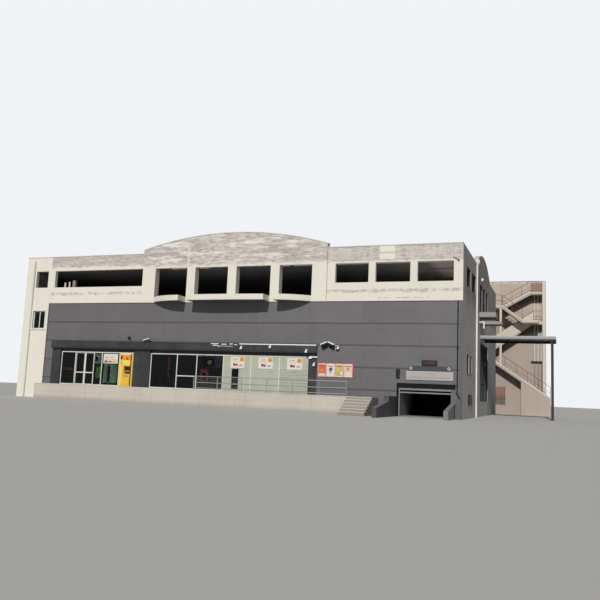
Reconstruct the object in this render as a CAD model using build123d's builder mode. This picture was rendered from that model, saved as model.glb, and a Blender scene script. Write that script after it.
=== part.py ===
from build123d import *
import os

# Two-storey market building with a curved balcony, a garage ramp and a rear stair.
# Millimetres. X runs along the front to the right, Y into the building, Z up.
# The origin is under the middle of the front wall, at the lowest ground.

# Whole building
LENGTH = 31000
DEPTH = 20000
FRONT_WALL = 250
SIDE_WALL = 300
REAR_WALL = 250

# Levels
SHOP_FLOOR = 1000
SHOP_SLAB = 250
GLAZING_HEAD = 3260
OPENING_HEAD = 3490
FASCIA_TOP = 3940
BOUNDARY = 6610
UPPER_FLOOR = 6850
UPPER_SLAB = 300
RIM_TOP = 6970
SILL = 7730
HEAD = 8910
ROOF_UNDER = 8950
ROOF_SLAB = 300
PARAPET = 9900
PEDIMENT_EDGE = 10150
PEDIMENT_CROWN = 11100

# Plan of the front, measured from the middle
LEFT_BAY = 2170
CENTRE_LEFT = -5690
CENTRE_RIGHT = 7430
PIER = 990
RIBBON_JAMB = 360
COLUMN = 600
COLUMN_DEPTH = 500
COLUMN_MIDDLE = 1000
COLUMN_PITCH = 2980
WING_PIER = 500
WING_OPENING = 2070
WING_POST = 420

# Small openings of the left bay
BAY_OPENING = 1060
BAY_OPENING_EDGE = 860
BAY_WINDOW_SILL = 4800
BAY_WINDOW_HEAD = 6060
BAY_WINDOW_IN = 100

# Cladding
CLAD_SETBACK = 40
CLAD = 60
CLAD_ROW = 1290
CLAD_GAP = 10

# Shop front
SHOP_LEFT = -11940
SHOP_RIGHT = 6420
PIER_LEFT_WIDTH = 730
PIER_RIGHT_WIDTH = 550
MID_PIER_LEFT = -5970
MID_PIER_RIGHT = -4700
FASCIA_OUT = 180
BAR = 60
BAR_DEPTH = 60
GLASS = 12
GLAZING_SETBACK = 130
RAIL_LEVEL = 1840
DOOR_LEFT = -10730
DOOR_RIGHT = -9250
LEAF = 40
LEAF_GAP = 6
LEAF_LAP = 40
LEAF_MEET = 6
LEAF_BAR = 70
LEAF_FOOT = 8
HEAD_LAP = 20
TRACK_OVER = 1000
TRACK_BACK = 30
HANGER = 200
HANGER_GAP = 0.3
TRACK = 34

# Cash machine beside the entrance
MACHINE_DEPTH = 600
RECESS_LEFT_IN = 350
RECESS_RIGHT_IN = 220
RECESS_LOW = 1800
RECESS_TOP = 2350
RECESS_DEPTH = 90

# Shutter bays at the right of the shop front
SHUTTER_LEFT = 650
SHUTTER_THICK = 30
SHUTTER_BAYS = 3
SLIT_LEFT = 1260
SLIT_RIGHT = 1740
SLIT_SILL = 1150
SLIT_HEAD = 2400

# Terrace, steps and handrail
TERRACE_DEPTH = 1500
TERRACE_RIGHT = 9300
STEP_RIGHT = 10800
STEP_COUNT = 5
STEP_RISE = 160
STEP_GOING = 300
RAIL_TUBE = 45
RAIL_TOP = 850
RAIL_LOW = 100
RAIL_IN = 60
RAIL_LEFT = -540
RAIL_BAYS = 6

# Garage way
GARAGE_LEFT = 12030
GARAGE_RIGHT = 14900
GARAGE_HEAD = 1650
SHAFT_WALL = 250
SHAFT_LENGTH = 6000
SHAFT_ROOF = 150
RAMP_SLAB = 40
LINTEL = 220
LINTEL_OUT = 40
LEG = 120
POST = 60
BEAM_UPPER = (1500, 1650)
BEAM_LOWER = (1330, 1400)
BEAM_DEPTH = 40
CHEEK = 250
CHEEK_LEFT_OUT = 4500
CHEEK_LEFT_FRONT = 490
CHEEK_LEFT_BACK = 850
CHEEK_STEP_OUT = 1850
CHEEK_STEP_TOP = 1120
CHEEK_RIGHT_OUT = 2500
CHEEK_RIGHT_FRONT = 460
CHEEK_RIGHT_BACK = 850

# Right side
SLOT_WINDOWS = ((1900, 2700), (3500, 4200))
SLOT_SILL = 2600
SLOT_HEAD = 3720
SIDE_WINDOWS = ((1500, 3150), (3900, 5700))
TALL_OPENINGS = ((8300, 9500), (10150, 11500), (12100, 13300))
SIDE_ARCH_START = 6500
SIDE_ARCH_END = 15000
LOADING_START = 8700
LOADING_END = 13700
LOADING_HEAD = 4950
LOADING_IN = 100
LOADING_THICK = 60
PANE_IN = 120
HATCH_START = 2600
HATCH_END = 4000
HATCH_LOW = 770
HATCH_TOP = 1380
HATCH_OUT = 40
SIDE_BALCONY_START = 7950
SIDE_BALCONY_LONG = 1250
SIDE_BALCONY_OUT = 1070
SIDE_BALCONY_LOW = 6560
SIDE_BALCONY_TOP = 6930
SIDE_SHELF_START = 8100
SIDE_SHELF_LONG = 900
SIDE_SHELF_OUT = 1450
SIDE_SHELF_TOP = 6330
SIDE_SHELF = 220
CANOPY_OUT = 4790
CANOPY_START = 8500
CANOPY_END = 11600
CANOPY_TOP = 5410
CANOPY_EDGE = 260
CANOPY_DECK = 120
CANOPY_SHEET = 60
CANOPY_POST = 130
CANOPY_POST_IN = 180

# Rear stair
STAIR_IN = 2000
STAIR_WALL_OVER = 950
STAIR_WALL = 250
STAIR_BACK = 3125
STAIR_RAIL = 60
STAIR_RAIL_OVER = 200
FLIGHT_WIDTH = 1000
FLIGHT_GAP = 60
STEP_HIGH = 180
FLIGHT_THICK = 220
LANDING_THICK = 200
STAIR_FOOT = 1400
STAIR_FOOT_BLOCK = 2290
LANDING_1 = 5000
LANDING_2 = 7800
LANDING_3 = 9050
LANDING_4 = 10350
LANDING_1_LONG = 630
LANDING_2_LONG = 740
LANDING_2_TURN = 450
LANDING_3_LONG = 900
REAR_TURN = 810
FRONT_TURN = -30
FLIGHT_1_LONG = 5350
FLIGHT_2_LONG = 3980
FLIGHT_3_LONG = 1650
FLIGHT_4_LONG = 2330
STAIR_POST = 90
STAIR_POSTS = 4
STAIR_COLUMN = 180
COLUMN_TREAD = 14

# Balcony
BALCONY_SLAB = 240
BALCONY_OUT = 1090
BALCONY_SHOULDER = 870
SHOULDER_LONG = 1700
SHOULDER_MIDDLE = (800, 560)
RIM = 120

# Pipes, boards and signs
PIPE = 110
BOARD = 30
DOWNPIPE_LEFT_IN = 630
DOWNPIPE_FRONT_IN = 270
DOWNPIPE_SIDE = 6100
HOPPER = 350
HOPPER_TOP = 10150
HOPPER_OUT = 220
PIPE_BOX = 250
PIPE_BOX_TOP = 1060

# Notice boards on the shutter bays and on the wall beside them
BIG_BOARD_IN = 510
BIG_BOARD = 980
BIG_BOARD_LOW = 2450
BIG_BOARD_TOP = 3155
SMALL_BOARDS = 4
SMALL_BOARD_IN = 100
SMALL_BOARD = 500
SMALL_BOARD_PITCH = 540
SMALL_BOARD_LOW = 2110
SMALL_BOARD_TOP = 2870

# Boards over the garage way
WAY_BOARD = 60
WAY_STRIP_IN = 450
WAY_STRIP = 2470
WAY_STRIP_LOW = 2620
WAY_STRIP_TOP = 2880
WAY_SIGN_IN = 370
WAY_SIGN = 2610
WAY_SIGN_LOW = 2090
WAY_SIGN_TOP = 2580
WAY_DISPLAY_IN = 1240
WAY_DISPLAY = 850
WAY_DISPLAY_OUT = 120
WAY_DISPLAY_LOW = 2900
WAY_DISPLAY_TOP = 3200

HALF = LENGTH / 2
FACE = -FRONT_WALL / 2
INNER = FACE + FRONT_WALL
CLAD_FACE = FACE + CLAD_SETBACK
CLAD_BACK = CLAD_FACE + CLAD
BACK = FACE + DEPTH
SIDE_IN = HALF - SIDE_WALL
ROOF_TOP = ROOF_UNDER + ROOF_SLAB
BAY_RIGHT = -HALF + LEFT_BAY
OPEN_LEFT = CENTRE_LEFT + PIER
OPEN_RIGHT = CENTRE_RIGHT - PIER
CENTRE = (CENTRE_LEFT + CENTRE_RIGHT) / 2
COLUMNS = [COLUMN_MIDDLE + i * COLUMN_PITCH for i in (-1, 0, 1)]
PIER_LEFT = SHOP_LEFT - PIER_LEFT_WIDTH
PIER_RIGHT = SHOP_RIGHT + PIER_RIGHT_WIDTH
GLAZE_FRONT = CLAD_FACE + GLAZING_SETBACK
GLAZE_BACK = GLAZE_FRONT + BAR_DEPTH
GLASS_FRONT = GLAZE_FRONT + (BAR_DEPTH - GLASS) / 2
ROWS = [BOUNDARY - i * CLAD_ROW for i in range(6)]
FACE_PLANE = Plane.XZ.offset(-FACE)


def rect(left, right, low, high, mode=Mode.ADD):
    """A rectangle of an elevation or plan, by its edges."""
    with Locations(((left + right) / 2, (low + high) / 2)):
        Rectangle(right - left, high - low, mode=mode)


def block(left, right, front, back, low, high, mode=Mode.ADD):
    """A box in the open part, by its six sides."""
    with Locations(((left + right) / 2, (front + back) / 2, (low + high) / 2)):
        Box(right - left, back - front, high - low, mode=mode)


def arch_face(start, end, low, edge, crown):
    """A face with a flat foot and a shallow arc on top."""
    with BuildLine() as outline:
        Line((start, edge), (start, low))
        Line((start, low), (end, low))
        Line((end, low), (end, edge))
        ThreePointArc((end, edge), ((start + end) / 2, crown), (start, edge))
    make_face(outline.edges())


def wing_openings(first, count):
    """Left and right edges of a row of wing openings."""
    pitch = WING_OPENING + WING_POST
    return [(first + i * pitch, first + i * pitch + WING_OPENING) for i in range(count)]


# Front, upper storey
with BuildPart() as front_left_bay:
    with BuildSketch(FACE_PLANE):
        rect(-HALF, BAY_RIGHT, 0, PARAPET)
        opening_left = -HALF + BAY_OPENING_EDGE
        rect(opening_left, opening_left + BAY_OPENING, SILL, HEAD, Mode.SUBTRACT)
        rect(opening_left, opening_left + BAY_OPENING, BAY_WINDOW_SILL, BAY_WINDOW_HEAD, Mode.SUBTRACT)
    extrude(amount=-FRONT_WALL)

with BuildPart() as upper_wall_left:
    with BuildSketch(FACE_PLANE):
        rect(BAY_RIGHT, CENTRE_LEFT, BOUNDARY, PARAPET)
        rect(BAY_RIGHT + RIBBON_JAMB, CENTRE_LEFT, SILL, HEAD, Mode.SUBTRACT)
    extrude(amount=-FRONT_WALL)

with BuildPart() as central_wall:
    with BuildSketch(FACE_PLANE):
        arch_face(CENTRE_LEFT, CENTRE_RIGHT, BOUNDARY, PEDIMENT_EDGE, PEDIMENT_CROWN)
        rect(OPEN_LEFT, OPEN_RIGHT, UPPER_FLOOR, HEAD, Mode.SUBTRACT)
    extrude(amount=-FRONT_WALL)
    for left, right in ((CENTRE_LEFT, OPEN_LEFT), (OPEN_RIGHT, CENTRE_RIGHT)):
        block(left, right, INNER, FACE + COLUMN_DEPTH, UPPER_FLOOR, ROOF_UNDER)

with BuildPart() as balcony_columns:
    for x in COLUMNS:
        block(x - COLUMN / 2, x + COLUMN / 2, FACE, FACE + COLUMN_DEPTH, UPPER_FLOOR, HEAD)

with BuildPart() as upper_wall_right:
    with BuildSketch(FACE_PLANE):
        rect(CENTRE_RIGHT, HALF, BOUNDARY, PARAPET)
        for left, right in wing_openings(CENTRE_RIGHT + WING_PIER, 3):
            rect(left, right, SILL, HEAD, Mode.SUBTRACT)
    extrude(amount=-FRONT_WALL)

# Curved balcony in three lengths, open at two of the columns
gaps = [(x - COLUMN / 2, x + COLUMN / 2) for x in (COLUMNS[0], COLUMNS[2])]
middle_in, middle_out = SHOULDER_MIDDLE


def balcony_plan(inset):
    """Plan of the whole balcony: a flat bow with a rounded shoulder at each end."""
    left, right = OPEN_LEFT + inset, OPEN_RIGHT - inset
    shoulder = FACE - BALCONY_SHOULDER + inset
    with BuildLine() as outline:
        ThreePointArc(
            (left, FACE), (OPEN_LEFT + middle_in + inset / 2, FACE - middle_out + inset),
            (OPEN_LEFT + SHOULDER_LONG, shoulder),
        )
        ThreePointArc(
            (OPEN_LEFT + SHOULDER_LONG, shoulder), (CENTRE, FACE - BALCONY_OUT + inset),
            (OPEN_RIGHT - SHOULDER_LONG, shoulder),
        )
        ThreePointArc(
            (OPEN_RIGHT - SHOULDER_LONG, shoulder),
            (OPEN_RIGHT - middle_in - inset / 2, FACE - middle_out + inset), (right, FACE),
        )
        Line((right, FACE), (left, FACE))
    make_face(outline.edges())


with BuildPart() as curved_balcony:
    with BuildSketch(Plane.XY.offset(UPPER_FLOOR - BALCONY_SLAB)):
        balcony_plan(0)
        for left, right in gaps:
            rect(left, right, FACE - BALCONY_OUT - RIM, FACE, Mode.SUBTRACT)
    extrude(amount=RIM_TOP - UPPER_FLOOR + BALCONY_SLAB)
    with BuildSketch(Plane.XY.offset(UPPER_FLOOR)):
        balcony_plan(RIM)
        for left, right in gaps:
            rect(left - RIM, right + RIM, FACE - BALCONY_OUT - RIM, FACE, Mode.SUBTRACT)
    extrude(amount=RIM_TOP - UPPER_FLOOR, mode=Mode.SUBTRACT)

# Front, ground storey, behind the cladding
with BuildPart() as front_wall_over:
    block(BAY_RIGHT, HALF, CLAD_BACK, INNER, OPENING_HEAD, BOUNDARY)

with BuildPart() as front_wall_base:
    block(SHOP_LEFT, SHOP_RIGHT, CLAD_FACE, INNER, 0, SHOP_FLOOR)

with BuildPart() as front_wall_lower:
    block(BAY_RIGHT, SHOP_LEFT, CLAD_BACK, INNER, 0, OPENING_HEAD)
    block(SHOP_RIGHT, HALF, CLAD_BACK, INNER, 0, OPENING_HEAD)
    block(GARAGE_LEFT, GARAGE_RIGHT, CLAD_BACK, INNER, 0, GARAGE_HEAD, Mode.SUBTRACT)

# Sides and rear
with BuildPart() as side_wall_right:
    with BuildSketch(Plane.YZ.offset(SIDE_IN)):
        rect(INNER, BACK - REAR_WALL, 0, PARAPET)
        arch_face(SIDE_ARCH_START, SIDE_ARCH_END, ROOF_TOP, PARAPET, PEDIMENT_CROWN)
        for start, end in SIDE_WINDOWS:
            rect(start, end, SILL, HEAD, Mode.SUBTRACT)
        for start, end in TALL_OPENINGS:
            rect(start, end, UPPER_FLOOR, HEAD, Mode.SUBTRACT)
        for start, end in SLOT_WINDOWS:
            rect(start, end, SLOT_SILL, SLOT_HEAD, Mode.SUBTRACT)
        rect(LOADING_START, LOADING_END, SHOP_FLOOR, LOADING_HEAD, Mode.SUBTRACT)
    extrude(amount=SIDE_WALL)

with BuildPart() as side_wall_left:
    with BuildSketch(Plane.YZ.offset(-HALF)):
        rect(INNER, BACK - REAR_WALL, 0, PARAPET)
        arch_face(SIDE_ARCH_START, SIDE_ARCH_END, ROOF_TOP, PARAPET, PEDIMENT_CROWN)
    extrude(amount=SIDE_WALL)

with BuildPart() as rear_wall:
    with BuildSketch(Plane.XZ.offset(-(BACK - REAR_WALL))):
        rect(-HALF, HALF, 0, PARAPET)
        for first in (-HALF + WING_PIER, HALF - WING_PIER - 3 * WING_OPENING - 2 * WING_POST):
            for left, right in wing_openings(first, 3):
                rect(left, right, SILL, HEAD, Mode.SUBTRACT)
    extrude(amount=-REAR_WALL)

# Floors and roof
shaft_left = GARAGE_LEFT - SHAFT_WALL
shaft_back = INNER + SHAFT_LENGTH

with BuildPart() as shop_floor:
    block(-SIDE_IN, SIDE_IN, INNER, BACK - REAR_WALL, SHOP_FLOOR - SHOP_SLAB, SHOP_FLOOR)
    block(shaft_left, SIDE_IN, INNER, shaft_back, 0, SHOP_FLOOR, Mode.SUBTRACT)

with BuildPart() as upper_floor:
    block(-SIDE_IN, SIDE_IN, INNER, BACK - REAR_WALL, UPPER_FLOOR - UPPER_SLAB, UPPER_FLOOR)

with BuildPart() as roof_slab:
    block(-SIDE_IN, SIDE_IN, INNER, BACK - REAR_WALL, ROOF_UNDER, ROOF_TOP)

# Grey cladding in rows, with open joints
lintel_left = GARAGE_LEFT - LEG - POST
lintel_right = GARAGE_RIGHT + SHAFT_WALL
lintel_top = GARAGE_HEAD + LINTEL

with BuildPart() as grey_cladding:
    for top in ROWS[:2]:
        block(BAY_RIGHT, HALF, CLAD_FACE, CLAD_BACK, top - CLAD_ROW + CLAD_GAP, top)
    for top in ROWS[2:]:
        low = max(top - CLAD_ROW + CLAD_GAP, 0)
        block(BAY_RIGHT, PIER_LEFT, CLAD_FACE, CLAD_BACK, low, top)
        block(PIER_RIGHT, HALF, CLAD_FACE, CLAD_BACK, low, top)
    block(lintel_left, GARAGE_RIGHT, CLAD_FACE, CLAD_BACK, 0, GARAGE_HEAD, Mode.SUBTRACT)
    block(lintel_left, lintel_right, CLAD_FACE, CLAD_BACK, GARAGE_HEAD, lintel_top, Mode.SUBTRACT)

# Shop front piers and fascia
with BuildPart() as shop_piers:
    block(PIER_LEFT, SHOP_LEFT, CLAD_FACE, CLAD_BACK, 0, OPENING_HEAD)
    block(MID_PIER_LEFT, MID_PIER_RIGHT, CLAD_FACE, INNER, SHOP_FLOOR, OPENING_HEAD)
    block(SHOP_RIGHT, PIER_RIGHT, CLAD_FACE, CLAD_BACK, 0, OPENING_HEAD)

with BuildPart() as shop_fascia:
    block(PIER_LEFT, PIER_RIGHT, CLAD_FACE - FASCIA_OUT, CLAD_BACK, OPENING_HEAD, FASCIA_TOP)

with BuildPart() as shop_head:
    for left, right in ((SHOP_LEFT, MID_PIER_LEFT), (MID_PIER_RIGHT, SHOP_RIGHT)):
        block(left, right, GLAZE_FRONT, INNER, GLAZING_HEAD, OPENING_HEAD)


def glazing_frame(left, right, posts, rails):
    """Sill, head, end bars, posts and rails of one glazed stretch."""
    block(left, right, GLAZE_FRONT, GLAZE_BACK, GLAZING_HEAD - BAR, GLAZING_HEAD)
    for start, end in rails:
        block(start, end, GLAZE_FRONT, GLAZE_BACK, RAIL_LEVEL - BAR / 2, RAIL_LEVEL + BAR / 2)
    for x in [left + BAR / 2, *posts, right - BAR / 2]:
        block(x - BAR / 2, x + BAR / 2, GLAZE_FRONT, GLAZE_BACK, SHOP_FLOOR, GLAZING_HEAD)


# Entrance glazing
entrance_posts = [DOOR_LEFT - BAR / 2, DOOR_RIGHT + BAR / 2, -8560, -7150]
MACHINE_LEFT = entrance_posts[-1] + BAR / 2
MACHINE_RIGHT = MID_PIER_LEFT - BAR

with BuildPart() as entrance_frame:
    glazing_frame(SHOP_LEFT, MID_PIER_LEFT, entrance_posts, [])
    block(SHOP_LEFT, entrance_posts[0], GLAZE_FRONT, GLAZE_BACK, SHOP_FLOOR, SHOP_FLOOR + BAR)
    block(entrance_posts[1], entrance_posts[3], GLAZE_FRONT, GLAZE_BACK, SHOP_FLOOR, SHOP_FLOOR + BAR)

pane_low = SHOP_FLOOR + BAR
pane_high = GLAZING_HEAD - BAR

with BuildPart() as entrance_glass:
    for left, right in (
        (SHOP_LEFT + BAR, entrance_posts[0] - BAR / 2),
        (entrance_posts[1] + BAR / 2, entrance_posts[2] - BAR / 2),
        (entrance_posts[2] + BAR / 2, entrance_posts[3] - BAR / 2),
    ):
        block(left, right, GLASS_FRONT, GLASS_FRONT + GLASS, pane_low, pane_high)

with BuildPart() as cash_machine:
    block(
        MACHINE_LEFT, MACHINE_RIGHT, GLAZE_FRONT, GLAZE_FRONT + MACHINE_DEPTH,
        SHOP_FLOOR, GLAZING_HEAD - BAR,
    )
    block(
        MACHINE_LEFT + RECESS_LEFT_IN, MACHINE_RIGHT - RECESS_RIGHT_IN,
        GLAZE_FRONT, GLAZE_FRONT + RECESS_DEPTH, RECESS_LOW, RECESS_TOP, Mode.SUBTRACT,
    )

# Sliding entrance leaves, hung from a track behind the frame
leaf_front = GLAZE_BACK + LEAF_GAP
leaf_back = leaf_front + LEAF
door_middle = (DOOR_LEFT + DOOR_RIGHT) / 2
leaf_low = SHOP_FLOOR + LEAF_FOOT
leaf_high = GLAZING_HEAD - BAR + HEAD_LAP
leaves = {
    "left": (DOOR_LEFT - LEAF_LAP, door_middle - LEAF_MEET / 2),
    "right": (door_middle + LEAF_MEET / 2, DOOR_RIGHT + LEAF_LAP),
}


def leaf_frame(left, right):
    """Frame of one sliding leaf with its middle rail and its two hangers."""
    block(left, right, leaf_front, leaf_back, leaf_low, leaf_high)
    for x in (left + LEAF_BAR, right - LEAF_BAR - HANGER):
        block(x, x + HANGER, leaf_front, leaf_back, leaf_high, leaf_high + LEAF_GAP - HANGER_GAP)
    for low, high in (
        (leaf_low + LEAF_BAR, RAIL_LEVEL - LEAF_BAR / 2),
        (RAIL_LEVEL + LEAF_BAR / 2, leaf_high - LEAF_BAR),
    ):
        block(left + LEAF_BAR, right - LEAF_BAR, leaf_front, leaf_back, low, high, Mode.SUBTRACT)


def leaf_panes(left, right):
    """The two panes of one sliding leaf."""
    glass_front = leaf_front + (LEAF - GLASS) / 2
    for low, high in (
        (leaf_low + LEAF_BAR, RAIL_LEVEL - LEAF_BAR / 2),
        (RAIL_LEVEL + LEAF_BAR / 2, leaf_high - LEAF_BAR),
    ):
        block(left + LEAF_BAR, right - LEAF_BAR, glass_front, glass_front + GLASS, low, high)


with BuildPart() as door_leaf_left:
    leaf_frame(*leaves["left"])
with BuildPart() as door_glass_left:
    leaf_panes(*leaves["left"])
with BuildPart() as door_leaf_right:
    leaf_frame(*leaves["right"])
with BuildPart() as door_glass_right:
    leaf_panes(*leaves["right"])

with BuildPart() as door_track:
    track_low = leaf_high + LEAF_GAP
    block(
        DOOR_LEFT - TRACK_OVER, DOOR_RIGHT + TRACK_OVER, GLAZE_BACK, leaf_back + TRACK_BACK,
        track_low, track_low + TRACK,
    )

# Display glazing and shutter bays in one frame
display_posts = [-2700, -1250]
bay_width = (SHOP_RIGHT - SHUTTER_LEFT) / SHUTTER_BAYS
shutter_posts = [SHUTTER_LEFT + i * bay_width for i in range(1, SHUTTER_BAYS)]

with BuildPart() as display_frame:
    glazing_frame(
        MID_PIER_RIGHT, SHOP_RIGHT, [*display_posts, SHUTTER_LEFT, *shutter_posts], [display_posts],
    )
    block(MID_PIER_RIGHT, SHUTTER_LEFT, GLAZE_FRONT, GLAZE_BACK, SHOP_FLOOR, SHOP_FLOOR + BAR)

with BuildPart() as display_glass:
    block(SLIT_LEFT, SLIT_RIGHT, GLASS_FRONT, GLASS_FRONT + GLASS, SLIT_SILL, SLIT_HEAD)
    edges = [MID_PIER_RIGHT + BAR / 2, *display_posts, SHUTTER_LEFT]
    for left, right in zip(edges, edges[1:]):
        split = [(pane_low, pane_high)]
        if left == display_posts[0]:
            split = [(pane_low, RAIL_LEVEL - BAR / 2), (RAIL_LEVEL + BAR / 2, pane_high)]
        for low, high in split:
            block(left + BAR / 2, right - BAR / 2, GLASS_FRONT, GLASS_FRONT + GLASS, low, high)

with BuildPart() as shop_shutters:
    edges = [SHUTTER_LEFT, *shutter_posts, SHOP_RIGHT - BAR / 2]
    for left, right in zip(edges, edges[1:]):
        block(left + BAR / 2, right - BAR / 2, GLASS_FRONT, GLASS_FRONT + SHUTTER_THICK, SHOP_FLOOR, pane_high)
    block(SLIT_LEFT, SLIT_RIGHT, GLAZE_FRONT, GLAZE_BACK, SLIT_SILL, SLIT_HEAD, Mode.SUBTRACT)

# Blank boards on the shutters and beside the shop front
with BuildPart() as notice_boards:
    for i in range(SHUTTER_BAYS):
        left = SHUTTER_LEFT + i * bay_width + BIG_BOARD_IN
        block(left, left + BIG_BOARD, GLASS_FRONT - BOARD, GLASS_FRONT, BIG_BOARD_LOW, BIG_BOARD_TOP)
    for i in range(SMALL_BOARDS):
        left = PIER_RIGHT + SMALL_BOARD_IN + SMALL_BOARD_PITCH * i
        block(left, left + SMALL_BOARD, CLAD_FACE - BOARD, CLAD_FACE, SMALL_BOARD_LOW, SMALL_BOARD_TOP)

# Terrace with steps and handrail
terrace_front = CLAD_FACE - TERRACE_DEPTH
with BuildPart() as front_terrace:
    block(PIER_LEFT, TERRACE_RIGHT, terrace_front, CLAD_FACE, 0, SHOP_FLOOR)

with BuildPart() as front_steps:
    block(TERRACE_RIGHT, STEP_RIGHT, terrace_front, CLAD_FACE, 0, SHOP_FLOOR)
    for i in range(1, STEP_COUNT + 1):
        block(
            TERRACE_RIGHT, STEP_RIGHT, terrace_front - i * STEP_GOING,
            terrace_front - (i - 1) * STEP_GOING, 0, SHOP_FLOOR - i * STEP_RISE,
        )

with BuildPart() as handrail:
    rail_y = terrace_front + RAIL_IN
    pitch = (TERRACE_RIGHT - RAIL_TUBE - RAIL_LEFT) / RAIL_BAYS
    for level in (RAIL_TOP - RAIL_TUBE, RAIL_TOP / 2, RAIL_LOW):
        block(
            RAIL_LEFT, TERRACE_RIGHT, rail_y, rail_y + RAIL_TUBE,
            SHOP_FLOOR + level, SHOP_FLOOR + level + RAIL_TUBE,
        )
    for i in range(RAIL_BAYS + 1):
        x = RAIL_LEFT + i * pitch
        block(x, x + RAIL_TUBE, rail_y, rail_y + RAIL_TUBE, SHOP_FLOOR, SHOP_FLOOR + RAIL_TOP)

# Garage way
with BuildPart() as shutter_box:
    block(lintel_left, lintel_right, CLAD_FACE - LINTEL_OUT, CLAD_BACK, GARAGE_HEAD, lintel_top)
    block(lintel_left, lintel_left + LEG, CLAD_FACE - LINTEL_OUT, CLAD_BACK, 0, GARAGE_HEAD)

with BuildPart() as shutter_guides:
    block(GARAGE_LEFT - POST, GARAGE_LEFT, CLAD_FACE, CLAD_BACK, 0, GARAGE_HEAD)
    for low, high in (BEAM_UPPER, BEAM_LOWER):
        block(GARAGE_LEFT, GARAGE_RIGHT, CLAD_BACK - BEAM_DEPTH, CLAD_BACK, low, high)

with BuildPart() as ramp_shaft:
    block(shaft_left, SIDE_IN, INNER, shaft_back, 0, GARAGE_HEAD + SHAFT_ROOF)
    block(GARAGE_LEFT, GARAGE_RIGHT, INNER, shaft_back - SHAFT_WALL, 0, GARAGE_HEAD, Mode.SUBTRACT)

with BuildPart() as ramp_floor:
    block(GARAGE_LEFT, GARAGE_RIGHT, CLAD_BACK, shaft_back - SHAFT_WALL, 0, RAMP_SLAB)

with BuildPart() as ramp_cheeks:
    with BuildSketch(Plane.YZ.offset(lintel_left - CHEEK)):
        with BuildLine():
            Polyline(
                (CLAD_FACE - CHEEK_LEFT_OUT, 0), (CLAD_FACE, 0), (CLAD_FACE, CHEEK_STEP_TOP),
                (CLAD_FACE - CHEEK_STEP_OUT, CHEEK_STEP_TOP),
                (CLAD_FACE - CHEEK_STEP_OUT, CHEEK_LEFT_BACK),
                (CLAD_FACE - CHEEK_LEFT_OUT, CHEEK_LEFT_FRONT), close=True,
            )
        make_face()
    extrude(amount=CHEEK)

    with BuildSketch(Plane.YZ.offset(GARAGE_RIGHT)):
        with BuildLine():
            Polyline(
                (CLAD_FACE - CHEEK_RIGHT_OUT, 0), (CLAD_FACE, 0), (CLAD_FACE, CHEEK_RIGHT_BACK),
                (CLAD_FACE - CHEEK_RIGHT_OUT, CHEEK_RIGHT_FRONT), close=True,
            )
        make_face()
    extrude(amount=CHEEK)

with BuildPart() as garage_signs:
    for inset, width, low, top in (
        (WAY_STRIP_IN, WAY_STRIP, WAY_STRIP_LOW, WAY_STRIP_TOP),
        (WAY_SIGN_IN, WAY_SIGN, WAY_SIGN_LOW, WAY_SIGN_TOP),
    ):
        left = GARAGE_LEFT + inset
        block(left, left + width, CLAD_FACE - WAY_BOARD, CLAD_FACE, low, top)

with BuildPart() as wall_boxes:
    left = GARAGE_LEFT + WAY_DISPLAY_IN
    block(
        left, left + WAY_DISPLAY, CLAD_FACE - WAY_DISPLAY_OUT, CLAD_FACE,
        WAY_DISPLAY_LOW, WAY_DISPLAY_TOP,
    )
    block(HALF, HALF + HATCH_OUT, HATCH_START, HATCH_END, HATCH_LOW, HATCH_TOP)

# Windows
with BuildPart() as bay_window:
    with BuildSketch(FACE_PLANE.offset(-BAY_WINDOW_IN)):
        rect(opening_left, opening_left + BAY_OPENING, BAY_WINDOW_SILL, BAY_WINDOW_HEAD)
        middle = opening_left + BAY_OPENING / 2
        for left, right in (
            (opening_left + BAR, middle - BAR / 2),
            (middle + BAR / 2, opening_left + BAY_OPENING - BAR),
        ):
            rect(left, right, BAY_WINDOW_SILL + BAR, BAY_WINDOW_HEAD - BAR, Mode.SUBTRACT)
    extrude(amount=-BAR_DEPTH)

with BuildPart() as window_panes:
    pane_y = FACE + BAY_WINDOW_IN + (BAR_DEPTH - GLASS) / 2
    for left, right in (
        (opening_left + BAR, middle - BAR / 2),
        (middle + BAR / 2, opening_left + BAY_OPENING - BAR),
    ):
        block(left, right, pane_y, pane_y + GLASS, BAY_WINDOW_SILL + BAR, BAY_WINDOW_HEAD - BAR)
    for start, end in SLOT_WINDOWS:
        block(HALF - PANE_IN, HALF - PANE_IN + GLASS, start, end, SLOT_SILL, SLOT_HEAD)

with BuildPart() as loading_door:
    door_out = HALF - LOADING_IN
    block(door_out - LOADING_THICK, door_out, LOADING_START, LOADING_END, SHOP_FLOOR, LOADING_HEAD)

# Downpipes
with BuildPart() as downpipes:
    pipe_left = -HALF + DOWNPIPE_LEFT_IN
    block(pipe_left, pipe_left + PIPE, FACE - PIPE, FACE, 0, PARAPET)
    pipe_left = HALF - DOWNPIPE_FRONT_IN
    block(pipe_left, pipe_left + PIPE, CLAD_FACE - PIPE, CLAD_FACE, PIPE_BOX_TOP, BOUNDARY)
    block(HALF - PIPE_BOX, HALF, CLAD_FACE - PIPE_BOX, CLAD_FACE, 0, PIPE_BOX_TOP)
    block(HALF, HALF + PIPE, DOWNPIPE_SIDE, DOWNPIPE_SIDE + PIPE, 0, HOPPER_TOP)
    block(
        HALF, HALF + HOPPER_OUT, DOWNPIPE_SIDE - PIPE, DOWNPIPE_SIDE + 2 * PIPE,
        HOPPER_TOP - HOPPER, HOPPER_TOP,
    )

# Slabs and canopy on the right side
with BuildPart() as side_balcony:
    block(
        HALF, HALF + SIDE_BALCONY_OUT, SIDE_BALCONY_START, SIDE_BALCONY_START + SIDE_BALCONY_LONG,
        SIDE_BALCONY_LOW, SIDE_BALCONY_TOP,
    )

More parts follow.
